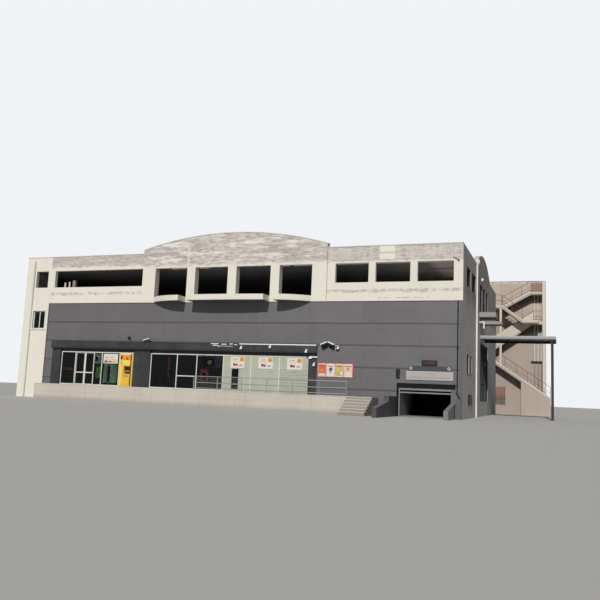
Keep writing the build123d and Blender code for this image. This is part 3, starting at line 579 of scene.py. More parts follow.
# Left bay window
# White coated aluminium frame with two panes, in a raised painted surround on a cement sill.
window_low, window_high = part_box("bay_window")
aluminium, tree = coated(
    "White aluminium", (0.74, 0.75, 0.72), (0.60, 0.61, 0.58), 3.0, (0.32, 0.45),
)
over(fade(tree, "X", 0.3, 0.9, 0.0, 0.45), (0.72, 0.68, 0.50))
finish(
    aluminium, "bay_window", "entrance_frame", "display_frame", "door_leaf_left",
    "door_leaf_right", "door_track",
)


@piece(plain_paint)
def bay_window_surround(shape):
    low, high, wide, sill = window_low, window_high, 0.12, 0.16
    boards(
        shape, FACE - 0.025, FACE + 0.02, 0.006,
        (low.x - wide, high.x + wide, high.z, high.z + wide),
        (low.x - wide, low.x, low.z, high.z), (high.x, high.x + wide, low.z, high.z),
    )
    bar(shape, (low.x - sill, FACE - 0.07, low.z - 0.08), (high.x + sill, FACE + 0.06, low.z), 0.01)


# Grey cladding
# Composite sheets in level rows on a hidden frame. Every level joint is covered by a shallow
# folded strip, and the upright joints between sheets show as fine lines.
SHEET_LONG = 3.4
FIRST_SEAM = 14.05
FIRST_ROW = 0.17
ROW = 1.29
clad_low, clad_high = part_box("grey_cladding")
CLAD_FACE = clad_low.y
cladding, tree, principled = shader("Grey cladding", 0.42)
sheet_place = maths("DIVIDE", maths("ADD", axis_of(tree, "X"), FIRST_SEAM), SHEET_LONG)
row_place = maths("DIVIDE", maths("SUBTRACT", axis_of(tree, "Z"), FIRST_ROW), ROW)
cell = add(tree, "ShaderNodeCombineXYZ")
feed(cell, "X", maths("FLOOR", sheet_place))
feed(cell, "Z", maths("FLOOR", row_place))
each = add(tree, "ShaderNodeTexWhiteNoise", noise_dimensions="3D")
feed(each, "Vector", cell.outputs["Vector"])
tone = mix(each.outputs["Value"], (0.124, 0.120, 0.132), (0.142, 0.138, 0.150))
feed(principled, "Base Color", tone)
over(ramp(noise(tree, 1.0, 6, stretch=(0.5, 0.5, 0.5)), 0.35, 0.75, 0.0, 0.18), (0.21, 0.20, 0.205))
over(ramp(noise(tree, 1.2, 5, stretch=(2.6, 2.6, 0.12)), 0.55, 0.75, 0.0, 0.16), (0.10, 0.10, 0.10))
over(fade(tree, "Z", 0.1, 1.3, 0.30, 0.0), (0.24, 0.225, 0.205))
seam = ramp(maths("ABSOLUTE", maths("SUBTRACT", maths("FRACT", sheet_place), 0.5)), 0.4975, 0.4990)
over(times(seam, 0.65), (0.05, 0.05, 0.055))
feed(principled, "Roughness", ramp(noise(tree, 5.0, 4), 0.2, 0.8, 0.34, 0.52))
relief(principled, maths("SUBTRACT", noise(tree, 1.6, 3), seam), 0.25, 0.006)
finish(cladding, "grey_cladding")

strip_coat, _ = coated(
    "Joint strip", (0.088, 0.086, 0.096), (0.078, 0.076, 0.086), 1.4, (0.36, 0.46),
)
fascia_low, fascia_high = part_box("shop_fascia")
way_low, way_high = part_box("shutter_box")
STRIP = 0.09
STRIP_OUT = 0.012


@piece(strip_coat)
def cladding_joint_strips(shape):
    out, back = CLAD_FACE - STRIP_OUT, CLAD_FACE + 0.01
    left, right, crest = clad_low.x, clad_high.x, clad_high.z
    for i in range(1, 6):
        top = crest - i * ROW + 0.02
        spans = [(left, right)]
        if top < fascia_high.z + 0.1:
            spans = [(left, fascia_low.x), (fascia_high.x, right)]
        if top < way_high.z:
            spans = [(left, fascia_low.x), (fascia_high.x, way_low.x), (way_high.x, right)]
        boards(shape, out, back, 0.003, *((*span, top - STRIP, top) for span in spans))
    boards(shape, out, back, 0.004, (left, right, crest - 0.05, crest))
    boards(shape, out, CLAD_FACE + 0.02, 0.004, (left, left + 0.06, 0, crest - 0.05))


# Shop fascia and piers
# Folded charcoal sheet over a steel frame, with a cap flashing and a drip trim along its foot.
charcoal, tree = coated(
    "Charcoal sheet", (0.034, 0.034, 0.041), (0.048, 0.047, 0.055), 0.9, (0.32, 0.46), bump=0.1,
)
# A band from 3.40 m to 3.56 m is painted darker: painted shadow under the fascia's foot.
over(times(between(tree, "Z", 3.40, 3.56, 0.03), 0.5), (0.012, 0.012, 0.015))
finish(charcoal, "shop_fascia", "shop_piers", "shop_head")


@piece(charcoal)
def fascia_trims(shape):
    out, left, right = fascia_low.y, fascia_low.x, fascia_high.x
    top, foot = fascia_high.z, fascia_low.z
    boards(shape, out - 0.02, CLAD_FACE, 0.006, (left, right, top, top + 0.025))
    boards(shape, out - 0.012, out + 0.02, 0.005, (left, right, foot - 0.03, foot + 0.02))
    for i in range(1, 6):
        x = left + (right - left) * i / 6
        boards(shape, out - 0.008, out + 0.01, 0.003, (x - 0.02, x + 0.02, foot + 0.02, top))
    for x in (-12.67, -11.97, -5.97, -4.73, 6.42, 6.94):
        boards(shape, CLAD_FACE - 0.006, CLAD_FACE + 0.01, 0.002, (x, x + 0.03, 1.0, foot - 0.03))


# Cable trunking and lamps on the fascia
# A white plastic channel feeds small round lamps that shine down the front; left of the shutters
# it has come apart in short lengths.
bright_plastic, _ = coated(
    "Bright plastic", (0.90, 0.90, 0.88), (0.80, 0.80, 0.77), 8.0, (0.35, 0.5),
)


@piece(bright_plastic)
def fascia_trunking(shape):
    front = fascia_low.y - 0.03
    top = fascia_high.z
    boards(shape, front, front + 0.035, 0.006, (1.86, 6.96, top - 0.03, top + 0.03))
    for left, right, drop in (
        (-0.13, 0.42, 0.0), (0.02, 0.30, 0.10), (0.62, 0.98, 0.02), (1.18, 1.42, 0.0),
        (1.52, 1.71, 0.04), (0.38, 0.46, 0.16),
    ):
        low = top - 0.04 - drop
        boards(shape, front, front + 0.03, 0.006, (left, right, low, low + 0.05))
    beam(shape, (0.30, front + 0.01, top - 0.14), (1.42, front + 0.01, top - 0.17), 0.02, 0.02)
    boards(shape, CLAD_FACE - 0.09, CLAD_FACE, 0.01, (6.47, 7.00, 3.20, 3.27))
    boards(shape, CLAD_FACE - 0.12, CLAD_FACE, 0.01, (6.47, 6.66, 3.13, 3.20))


@piece(bright_plastic)
def fascia_lamps(shape):
    front = fascia_low.y
    for x, z in ((2.03, 3.67), (3.99, 3.77), (6.35, 3.54), (6.81, 2.76)):
        plane = front if z > 3.0 else CLAD_FACE
        bar(shape, (x - 0.03, plane - 0.03, z - 0.02), (x + 0.03, plane + 0.005, z + 0.16), 0.006)
        tube(shape, (x, plane - 0.02, z + 0.06), (x, plane - 0.10, z + 0.02), 0.02, 10)
        tube(shape, (x, plane - 0.09, z + 0.10), (x, plane - 0.15, z - 0.06), 0.045, 18, 0.085)


# Wall cameras
# White housings with a hood on a short arm, screwed to the cladding.
black_plastic, _ = coated(
    "Black plastic", (0.016, 0.016, 0.018), (0.028, 0.028, 0.030), 8.0, (0.35, 0.55), gloss=0.2,
)


@piece(bright_plastic)
def camera_housings(shape):
    y = CLAD_FACE
    beam(shape, (-4.66, y - 0.30, 4.19), (-5.07, y - 0.34, 4.06), 0.13, 0.05, 0.008)
    bar(shape, (8.15, y - 0.24, 3.74), (8.38, y - 0.04, 3.92), 0.02)
    beam(shape, (8.14, y - 0.27, 3.93), (8.40, y - 0.27, 3.91), 0.12, 0.02, 0.004)


@piece(black_plastic)
def camera_bodies(shape):
    y = CLAD_FACE
    beam(shape, (-4.70, y - 0.28, 4.10), (-5.03, y - 0.33, 3.99), 0.10, 0.09, 0.01)
    tube(shape, (-4.74, y, 4.02), (-4.80, y - 0.26, 4.04), 0.025, 12)
    tube(shape, (-4.74, y + 0.005, 4.02), (-4.74, y - 0.02, 4.02), 0.06, 16)
    tube(shape, (8.22, y - 0.235, 3.83), (8.22, y - 0.255, 3.83), 0.05, 18)
    tube(shape, (8.27, y, 3.80), (8.27, y - 0.06, 3.80), 0.03, 12)
    tube(shape, (-6.32, y, 4.26), (-6.32, y - 0.14, 4.24), 0.022, 12)
    tube(shape, (-6.32, y - 0.10, 4.30), (-6.32, y - 0.20, 4.17), 0.05, 18, 0.09)
    bar(shape, (11.80, y - 0.12, 2.17), (12.01, y, 2.66), 0.015)


# Floodlight pair
# Two lamps on one arm under white sheet hoods, turned out to the left and right above the boards.
LAMP_MIDDLE = 7.685


@piece(bright_plastic)
def floodlight_hoods(shape):
    for side in (-1, 1):
        high = Vector((LAMP_MIDDLE + side * 0.03, CLAD_FACE - 0.20, 4.16))
        low = Vector((LAMP_MIDDLE + side * 0.43, CLAD_FACE - 0.22, 4.00))
        lip = Vector((0, -0.145, -0.025))
        beam(shape, high, low, 0.30, 0.025, 0.006)
        beam(shape, high + lip, low + lip, 0.012, 0.05)


@piece(black_plastic)
def floodlight_bodies(shape):
    middle, y = LAMP_MIDDLE, CLAD_FACE
    tube(shape, (middle, y + 0.005, 4.05), (middle, y - 0.22, 4.05), 0.03)
    boards(shape, y - 0.02, y, 0.004, (middle - 0.06, middle + 0.06, 3.98, 4.12))
    for side in (-1, 1):
        high = (middle + side * 0.05, y - 0.20, 4.06)
        beam(shape, high, (middle + side * 0.40, y - 0.22, 3.90), 0.24, 0.15, 0.03)
        for step in range(5):
            x = middle + side * (0.09 + 0.06 * step)
            top = 4.03 - 0.027 * step
            boards(shape, y - 0.30, y - 0.12, 0, (x - 0.004, x + 0.004, top - 0.19, top - 0.05))


# Shop glazing
# Fixed clear panes in aged white frames, held by black rubber gaskets.
glass, tree, principled = shader("Shop glass", 0.03)
principled.inputs["Transmission Weight"].default_value = 1.0
principled.inputs["IOR"].default_value = 1.45
principled.inputs["Specular IOR Level"].default_value = 0.15
film = ramp(noise(tree, 1.2, 5), 0.35, 0.8)
feed(principled, "Base Color", mix(film, (0.46, 0.53, 0.51), (0.38, 0.44, 0.42)))
feed(principled, "Roughness", ramp(noise(tree, 7.0, 5), 0.4, 0.8, 0.02, 0.10))
finish(glass, "entrance_glass", "display_glass", "window_panes")
finish(glass, "door_glass_left", "door_glass_right")

rubber, _ = coated("Black rubber", (0.014, 0.014, 0.015), (0.022, 0.022, 0.022), 12.0, (0.6, 0.75))
PANE_LOW, PANE_HIGH, RAIL_LEVEL, RAIL_HALF = 1.06, 3.20, 1.84, 0.03
GASKET = 0.014
GLASS_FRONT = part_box("entrance_glass")[0].y
FRONT_PANES = (
    *((left, right, PANE_LOW, PANE_HIGH) for left, right in (
        (-11.88, -10.79), (-9.19, -8.59), (-8.53, -7.18), (-4.64, -2.73), (-1.22, 0.62),
    )),
    (-2.67, -1.28, PANE_LOW, RAIL_LEVEL - RAIL_HALF),
    (-2.67, -1.28, RAIL_LEVEL + RAIL_HALF, PANE_HIGH), (1.26, 1.74, 1.15, 2.40),
)


def gasket(shape, left, right, low, high, plane):
    """Four rubber strips round one pane, on the front of its glass."""
    back = plane + 0.001
    front = plane - 0.008
    for x in (left, right - GASKET):
        boards(shape, front, back, 0.002, (x, x + GASKET, low, high))
    for z in (low, high - GASKET):
        boards(shape, front, back, 0.002, (left + GASKET, right - GASKET, z, z + GASKET))


@piece(rubber)
def front_gaskets(shape):
    for left, right, low, high in FRONT_PANES:
        gasket(shape, left, right, low, high, GLASS_FRONT)


# Sliding entrance leaves
# Each leaf has rubber round its panes, a brush along its foot and a pull bar inside.
steel_bar, _ = coated(
    "Brushed bar", (0.52, 0.53, 0.54), (0.44, 0.45, 0.46), 14.0, (0.28, 0.42), 0.9,
)
for side, meeting in (("left", -1), ("right", 1)):
    leaf_low, leaf_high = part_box("door_leaf_" + side)
    pane_low, pane_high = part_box("door_glass_" + side)

    @piece(rubber, "door_" + side, "_" + side)
    def leaf_gaskets(shape):
        for low, high in ((pane_low.z, RAIL_LEVEL - 0.035), (RAIL_LEVEL + 0.035, pane_high.z)):
            gasket(shape, pane_low.x, pane_high.x, low, high, pane_low.y)
        brush = (leaf_low.x + 0.01, leaf_high.x - 0.01, leaf_low.z - 0.006, leaf_low.z + 0.004)
        boards(shape, leaf_low.y + 0.008, leaf_high.y - 0.008, 0.002, brush)

    @piece(steel_bar, "door_" + side, "_" + side)
    def leaf_pull(shape):
        stile = leaf_high.x - 0.035 if meeting < 0 else leaf_low.x + 0.035
        back = leaf_high.y
        for z in (1.72, 2.22):
            tube(shape, (stile, back - 0.002, z), (stile, back + 0.04, z), 0.009)
        tube(shape, (stile, back + 0.04, 1.66), (stile, back + 0.04, 2.28), 0.013, 16)

# Sheets and posters behind the glass
# Plain coloured paper and film inside the panes, and one board before them. They show plain blocks
# of colour, no real picture.
printed_sheet, tree, principled = shader("Printed sheet", 0.5)
ink = add(tree, "ShaderNodeAttribute", attribute_name="Print")
principled.inputs["Specular IOR Level"].default_value = 0.3
feed(principled, "Base Color", ink.outputs["Color"])
over(ramp(noise(tree, 7.0, 5), 0.35, 0.75, 0.0, 0.05), (0.62, 0.60, 0.56))
feed(principled, "Roughness", ramp(noise(tree, 20.0, 3), 0.3, 0.7, 0.42, 0.6))
relief(principled, noise(tree, 25.0, 3), 0.06, 0.001)
PAPER = (0.72, 0.69, 0.63)
RED = (0.50, 0.050, 0.040)
ORANGE = (0.66, 0.22, 0.05)
YELLOW = (0.66, 0.45, 0.08)
GREEN = (0.25, 0.52, 0.10)
PALE_GREEN = (0.42, 0.60, 0.42)
VIOLET = (0.10, 0.05, 0.20)
BROWN = (0.11, 0.065, 0.05)
GREY = (0.30, 0.30, 0.30)


def printed(shape, colour, make, *sizes):
    """A shape whose faces carry their own print colour."""
    layers = shape.loops.layers.float_color
    layer = layers.get("Print") or layers.new("Print")
    before = set(shape.faces)
    make(shape, *sizes)
    for face in shape.faces:
        if face not in before:
            for loop in face.loops:
                loop[layer] = (*colour, 1)


def sheets(shape, plane, *rows):
    """Upright sheets, 3 mm thick, with their fronts on a plane; a row starts with a colour."""
    for colour, left, right, low, high in rows:
        printed(shape, colour, bar, (left, plane, low), (right, plane + 0.003, high))


def spot(shape, colour, x, z, radius, plane):
    """A round print on an upright plane."""
    printed(shape, colour, tube, (x, plane + 0.003, z), (x, plane, z), radius, 24)


@piece(printed_sheet)
def window_sheets(shape):
    back = GLASS_FRONT + 0.0125
    sheets(
        shape, back, (RED, -11.80, -10.98, 1.96, 2.13), (PALE_GREEN, -9.17, -8.62, 2.49, 3.14),
        (GREEN, -9.00, -8.64, 1.50, 2.24), (PALE_GREEN, -8.40, -7.30, 1.20, 2.44),
        (RED, -3.38, -3.24, 1.70, 3.05), (BROWN, -1.20, 0.05, 3.08, 3.19),
        (VIOLET, 0.06, 0.52, 2.45, 3.19), (RED, -0.95, -0.40, 1.45, 2.30),
    )
    sheets(
        shape, back - 0.0005, (PAPER, -11.62, -11.12, 2.00, 2.07),
        (PAPER, -9.12, -8.90, 2.62, 2.95), (BROWN, -8.06, -7.86, 1.25, 2.36),
        ((0.45, 0.20, 0.22), -3.30, -2.86, 1.99, 2.18), (PAPER, -0.86, -0.06, 2.53, 3.06),
        (YELLOW, -0.80, -0.55, 1.60, 2.10),
    )
    spot(shape, GREY, -0.34, 2.76, 0.14, back - 0.001)


@piece(printed_sheet)
def entrance_poster(shape):
    front = GLASS_FRONT - 0.012
    printed(shape, PAPER, bar, (-8.45, front, 2.50), (-7.30, GLASS_FRONT - 0.001, 3.14), 0.004)
    sheets(
        shape, front - 0.002, (GREY, -8.36, -8.02, 2.88, 2.93), (GREY, -7.94, -7.60, 2.90, 2.95),
        (ORANGE, -8.36, -7.44, 2.76, 2.79), (BROWN, -8.36, -8.10, 2.56, 2.69),
        (RED, -8.04, -7.78, 2.57, 2.68), (YELLOW, -7.72, -7.42, 2.55, 2.70),
    )


# Cash machine
# Yellow enamelled steel surround with a white head strip, a recessed screen and keys, and slots.
enamel, _ = coated(
    "Yellow enamel", (0.82, 0.47, 0.025), (0.76, 0.52, 0.09), 2.5, (0.28, 0.42), bump=0.05,
)
finish(enamel, "cash_machine")
machine_low, machine_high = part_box("cash_machine")


@piece(printed_sheet)
def cash_machine_face(shape):
    plane = machine_low.y - 0.006
    left, right = machine_low.x, machine_high.x
    pale_yellow = (0.86, 0.66, 0.14)
    sheets(
        shape, plane, (PAPER, left + 0.10, right - 0.24, 3.11, 3.19),
        ((0.80, 0.30, 0.02), left + 0.08, right - 0.24, 2.78, 3.08),
        (pale_yellow, left + 0.16, right - 0.26, 2.42, 2.74),
        ((0.02, 0.02, 0.02), right - 0.235, right - 0.155, 1.05, 3.16),
        (GREY, left + 0.36, right - 0.30, 1.64, 1.76),
        (pale_yellow, left + 0.06, left + 0.20, 1.05, 3.05),
    )
    spot(shape, RED, left + 0.58, 2.86, 0.10, plane - 0.002)


@piece(black_plastic)
def cash_machine_keys(shape):
    left, right = machine_low.x + 0.35, machine_high.x - 0.22
    back = machine_low.y + 0.09
    bar(shape, (left + 0.03, back - 0.03, 2.06), (right - 0.06, back + 0.01, 2.32), 0.008)
    x = left + 0.26
    beam(shape, (x, back - 0.07, 1.88), (x, back - 0.01, 1.95), 0.36, 0.02, 0.004)
    for column in range(4):
        for row in range(3):
            x = left + 0.14 + 0.075 * column
            y = back - 0.062 + 0.02 * row
            z = 1.90 + 0.023 * row
            bar(shape, (x - 0.025, y - 0.007, z), (x + 0.025, y + 0.007, z + 0.014), 0.003)
    bar(shape, (left + 0.05, back - 0.02, 1.97), (left + 0.24, back, 2.01), 0.004)
    bar(shape, (left + 0.30, back - 0.02, 1.97), (right - 0.08, back, 2.01), 0.004)


# Shutter bays
# Pale lacquered panels in three bays; the right bay is a roller curtain of narrow slats.
lacquer, tree = coated(
    "Pale lacquer", (0.47, 0.49, 0.41), (0.40, 0.42, 0.355), 1.2, (0.40, 0.55), bump=0.12,
)
curtain = times(fade(tree, "X", 4.52, 4.53), fade(tree, "Z", 2.43, 2.44, 1, 0))
slot = maths("DIVIDE", maths("SUBTRACT", axis_of(tree, "Z"), 1.0), 0.16)
slot = maths("ABSOLUTE", maths("SUBTRACT", maths("FRACT", slot), 0.5))
over(times(curtain, ramp(slot, 0.34, 0.46), 0.5), (0.20, 0.20, 0.17))
finish(lacquer, "shop_shutters")
BAYS = ((0.68, 2.543), (2.603, 4.467), (4.527, 6.36))
SLAT = 0.08
CURTAIN_TOP = 2.44
panel_low, panel_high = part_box("shop_shutters")


@piece(lacquer)
def roller_curtain(shape):
    left, right = BAYS[2]
    front = panel_low.y
    rows = int((CURTAIN_TOP - panel_low.z) / SLAT)
    for i in range(rows):
        low = panel_low.z + i * SLAT
        slat = (left, right, low + 0.006, low + SLAT - 0.006)
        boards(shape, front - 0.012, front + 0.004, 0.005, slat)
    head = (left, right, CURTAIN_TOP, CURTAIN_TOP + 0.07)
    boards(shape, front - 0.022, front + 0.004, 0.006, head)
    for x in (left, right - 0.04):
        boards(shape, front - 0.026, front, 0.004, (x, x + 0.04, panel_low.z, CURTAIN_TOP))


@piece(lacquer)
def panel_joints(shape):
    front = panel_low.y
    for left, right in BAYS[:2]:
        for z in (1.42, 2.42):
            boards(shape, front - 0.006, front + 0.002, 0.002, (left, right, z, z + 0.03))
        for x in (left + 0.56, right - 0.62):
            rib = (x, x + 0.035, panel_low.z, panel_high.z)
            boards(shape, front - 0.008, front + 0.002, 0.002, rib)


# Notice boards
# White plastic boards on the shutters and four framed ones on a red backing beside the shop; they
# carry plain blocks of colour.
finish(white_plastic, "notice_boards", "garage_signs")
BIG_BOARDS = ((1.16, 2.14), (3.083, 4.063), (5.007, 5.987))
BIG_LOW, BIG_HIGH = 2.45, 3.155
SMALL_LOW, SMALL_HIGH = 2.11, 2.87


@piece(printed_sheet)
def big_board_prints(shape):
    plane = panel_low.y - 0.033
    low, high = BIG_LOW, BIG_HIGH
    for left, right in BIG_BOARDS:
        sheets(shape, plane, (PAPER, left + 0.01, right - 0.01, low + 0.01, high - 0.01))
        sheets(
            shape, plane - 0.002, (YELLOW, right - 0.34, right - 0.03, high - 0.28, high - 0.03),
            ((0.55, 0.40, 0.42), left + 0.16, left + 0.50, high - 0.20, high - 0.12),
            ((0.70, 0.58, 0.52), left + 0.12, left + 0.58, high - 0.33, high - 0.25),
            (GREY, left + 0.60, left + 0.84, low + 0.14, low + 0.22),
        )
        spot(shape, ORANGE, right - 0.21, high - 0.17, 0.11, plane - 0.004)
        spot(shape, BROWN, left + 0.28, low + 0.22, 0.09, plane - 0.002)
        spot(shape, RED, left + 0.44, low + 0.20, 0.08, plane - 0.003)


@piece(printed_sheet)
def small_board_prints(shape):
    low, high, edge = SMALL_LOW, SMALL_HIGH, 0.03
    backing = (7.04, CLAD_FACE - 0.026, low - edge), (9.26, CLAD_FACE, high + edge)
    printed(shape, RED, bar, *backing, 0.005)
    plane = CLAD_FACE - 0.033
    tones = ((0.60, 0.13, 0.06), PAPER, (0.62, 0.42, 0.18), (0.66, 0.56, 0.44))
    for i, tone in enumerate(tones):
        left = 7.07 + 0.54 * i
        right = left + 0.50
        sheets(shape, plane, (tone, left + 0.02, right - 0.02, low + 0.05, high - 0.05))
        sheets(shape, plane - 0.002, (RED, left + 0.06, right - 0.06, high - 0.17, high - 0.12))
    sheets(
        shape, plane - 0.002, (PAPER, 7.12, 7.50, 2.19, 2.28), (ORANGE, 7.20, 7.44, 2.36, 2.56),
        (YELLOW, 8.20, 8.50, 2.44, 2.62), (GREEN, 8.22, 8.44, 2.19, 2.32),
        (PAPER, 8.46, 8.60, 2.25, 2.40), (PAPER, 8.78, 9.08, 2.20, 2.36),
        (ORANGE, 8.84, 9.00, 2.50, 2.64),
    )
    spot(shape, (0.10, 0.09, 0.09), 7.86, 2.54, 0.11, plane - 0.002)
    spot(shape, GREY, 7.84, 2.38, 0.07, plane - 0.003)


# Terrace and steps
# Cast concrete faced with pale stone slabs; the ledge and each step end in a rounded, paler
# nosing.
pale_stone, tree = wall_paint("Pale stone", (0.56, 0.52, 0.46), 0.35, 0.8)
over(times(courses(tree, 1.2, 0.5, 0.006), 0.6), (0.26, 0.24, 0.21))
over(fade(tree, "Z", 0.02, 0.35, 0.5, 0.0), (0.25, 0.22, 0.19))
# Upright faces right of 9.3 m are painted darker: painted shade on the risers.
riser_shade = times(looking_up(tree, 0.3, 0.7, 0.65, 0.0), fade(tree, "X", 9.29, 9.31))
over(riser_shade, (0.20, 0.18, 0.165))
finish(pale_stone, "front_terrace", "front_steps")
terrace_low, terrace_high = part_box("front_terrace")
steps_low, steps_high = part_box("front_steps")
TREADS = 5
TREAD_GOING = 0.30
TREAD_RISE = 0.16

nosing_stone, _ = wall_paint("Nosing stone", (0.64, 0.61, 0.55), 0.4, 0.75)


@piece(nosing_stone)
def edge_nosings(shape):
    front, top, proud, round_edge = terrace_low.y, terrace_high.z, 0.002, 0.008
    ledge = (terrace_low.x, terrace_high.x, top - 0.04, top + proud)
    boards(shape, front - 0.02, front + 0.02, round_edge, ledge)
    for i in range(TREADS + 1):
        edge = front - i * TREAD_GOING
        level = top - i * TREAD_RISE
        nosing = (steps_low.x, steps_high.x, level - 0.035, level + proud)
        boards(shape, edge - 0.015, edge + 0.02, round_edge, nosing)


# Handrail
# Galvanised tube in six bays, with welded mesh in the two bays before the display windows.
galvanised, _ = coated(
    "Galvanised steel", (0.56, 0.57, 0.58), (0.42, 0.43, 0.44), 16.0, (0.34, 0.50), 0.85,
)
rail_low, rail_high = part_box("handrail")
RAIL_BAYS = 6
TUBE_RADIUS = 0.0225
MESH_RIGHT = 2.87
MESH_PITCH = 0.10


@piece(galvanised)
def handrail_tubes(shape):
    radius, ground = TUBE_RADIUS, terrace_high.z
    y = rail_low.y + radius
    left, right = rail_low.x + radius, rail_high.x - radius
    top = rail_high.z - radius
    for z in (top, ground + 0.447, ground + 0.122):
        tube(shape, (left - radius, y, z), (right + radius, y, z), radius, 16)
    for i in range(RAIL_BAYS + 1):
        x = left + (right - left) * i / RAIL_BAYS
        tube(shape, (x, y, ground - 0.002), (x, y, top), radius, 16)
        tube(shape, (x, y, ground - 0.001), (x, y, ground + 0.012), 0.05, 20)


@piece(galvanised)
def handrail_mesh(shape):
    y = rail_low.y + TUBE_RADIUS
    low, high = terrace_high.z + 0.14, rail_high.z - 0.04
    wire, rows = 0.003, 7
    for i in range(1, int((MESH_RIGHT - rail_low.x) / MESH_PITCH)):
        x = rail_low.x + MESH_PITCH * i
        tube(shape, (x, y, low), (x, y, high), wire, 6)
    for i in range(1, rows):
        z = low + (high - low) * i / rows
        tube(shape, (rail_low.x + 0.03, y, z), (MESH_RIGHT, y, z), wire, 6)


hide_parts("handrail")

# Garage way
# A steel head box and jambs over a concrete ramp shaft. Behind the box run two pale guide beams;
# rendered cheeks step down beside the ramp, their tops paler, partly a coping and partly a painted
# highlight.
header_steel, _ = coated(
    "Header steel", (0.010, 0.010, 0.012), (0.016, 0.016, 0.018), 2.0, (0.55, 0.7), gloss=0.06,
)
finish(header_steel, "shutter_box")
beam_steel, _ = coated(
    "Guide steel", (0.27, 0.275, 0.28), (0.20, 0.205, 0.21), 3.0, (0.4, 0.55), 0.1,
)
finish(beam_steel, "shutter_guides")

shaft_concrete, tree = wall_paint("Shaft concrete", (0.24, 0.24, 0.24), 0.6, 0.9)
# Deeper into the shaft the concrete is painted near black: painted shade inside the way.
over(fade(tree, "Y", 2.2, 4.2, 0.0, 0.95), (0.012, 0.012, 0.014))
finish(shaft_concrete, "ramp_shaft", "ramp_floor")

cheek_paint, tree = wall_paint("Cheek paint", (0.060, 0.060, 0.074), 0.35, 0.7)
# Upward faces are painted paler, partly a pale coping and partly a painted highlight on the lit
# tops; the right cheek is painted lighter.
over(looking_up(tree, 0.6, 0.8), (0.15, 0.15, 0.17))
right_cheek = fade(tree, "X", 14.8, 14.85)
over(times(right_cheek, 0.75), (0.23, 0.22, 0.25))
finish(cheek_paint, "ramp_cheeks")


@piece(header_steel)
def shaft_curtain(shape):
    left, right, top = 12.04, 14.89, 1.648
    for i in range(4):
        low = 1.42 + 0.06 * i
        boards(shape, 0.06, 0.15, 0.006, (left, right, low, low + 0.035))
    boards(shape, 0.05, 0.20, 0.004, (left, right, top - 0.02, top))


@piece(header_steel)
def header_seams(shape):
    out, left, right, top = way_low.y - 0.006, way_low.x, way_high.x, way_high.z
    for x in (12.95, 14.05):
        boards(shape, out, out + 0.01, 0.002, (x, x + 0.03, top - 0.21, top - 0.01))
    boards(shape, out - 0.012, out + 0.12, 0.004, (left, right, top - 0.02, top + 0.012))
    boards(shape, out, out + 0.02, 0.003, (left + 0.12, right, top - 0.235, top - 0.205))


# Boards over the garage way
# A dark strip with a round light at each end, a white board below it and a dark display above.
BOARD_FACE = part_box("garage_signs")[0].y
box_metal, tree = coated(
    "Display casing", (0.018, 0.016, 0.020), (0.028, 0.025, 0.030), 3.0, gloss=0.2,
)
over(fade(tree, "X", 15.3, 15.4), (0.050, 0.038, 0.035))
finish(box_metal, "wall_boxes")


@piece(printed_sheet)
def way_boards(shape):
    plane = BOARD_FACE - 0.004
    sheets(
        shape, plane, ((0.050, 0.060, 0.066), 12.48, 14.95, 2.62, 2.88),
        ((0.42, 0.40, 0.392), 12.41, 15.00, 2.10, 2.57),
    )
    for x in (12.64, 14.79):
        spot(shape, (0.42, 0.42, 0.41), x, 2.75, 0.095, plane - 0.003)
        spot(shape, (0.13, 0.15, 0.16), x, 2.75, 0.045, plane - 0.005)
    sheets(
        shape, plane - 0.002, ((0.44, 0.33, 0.33), 13.20, 14.12, 2.38, 2.47),
        ((0.33, 0.315, 0.31), 12.55, 14.86, 2.19, 2.27),
    )
    plane = CLAD_FACE - 0.124
    sheets(shape, plane, ((0.05, 0.012, 0.018), 13.33, 14.06, 2.96, 3.14))
    for i in range(4):
        left = 13.40 + 0.16 * i
        sheets(shape, plane - 0.002, ((0.11, 0.025, 0.03), left, left + 0.10, 3.00, 3.10))


# Downpipes
# Plastic pipes in clips: a cream one on the left bay, a dark one by the right corner that turns
# into a sheet casing at its foot, and a white one with a hopper on the right side.
pipe_white, _ = coated("White pipe", (0.84, 0.84, 0.82), (0.72, 0.72, 0.69), 2.0, (0.35, 0.5))
casing_coat, _ = coated(
    "Casing sheet", (0.115, 0.115, 0.135), (0.095, 0.095, 0.11), 2.0, (0.36, 0.5),
)
PIPE_RADIUS = 0.055
SIDE = side_high.x
CLIPS, CLIP_PITCH, CLIP = 5, 2.0, 0.04


@piece(coping_paint)
def bay_downpipe(shape):
    x, y, radius = -14.815, FACE - PIPE_RADIUS, PIPE_RADIUS
    tube(shape, (x, y, 0.0), (x, y, 9.60), radius, 20)
    tube(shape, (x, y, 9.55), (x, FACE + 0.02, 9.72), radius, 20)
    for i in range(CLIPS):
        z = 1.2 + CLIP_PITCH * i
        tube(shape, (x, y, z), (x, y, z + CLIP), radius + 0.012, 20)
        bar(shape, (x - 0.02, y, z), (x + 0.02, FACE + 0.005, z + CLIP))


@piece(pipe_white)
def side_downpipe(shape):
    x, y, radius = SIDE + PIPE_RADIUS, 6.155, PIPE_RADIUS
    tube(shape, (x, y, 0.0), (x, y, 9.78), radius, 20)
    tube(shape, (x + 0.01, y, 9.76), (x + 0.04, y, 9.94), radius, 20, 0.12)
    tube(shape, (x + 0.04, y, 9.94), (x + 0.04, y, 10.13), 0.12, 20, 0.14)
    for i in range(CLIPS):
        z = 1.0 + CLIP_PITCH * i
        tube(shape, (x, y, z), (x, y, z + CLIP), radius + 0.012, 20)
        bar(shape, (SIDE - 0.005, y - 0.02, z), (x, y + 0.02, z + CLIP))


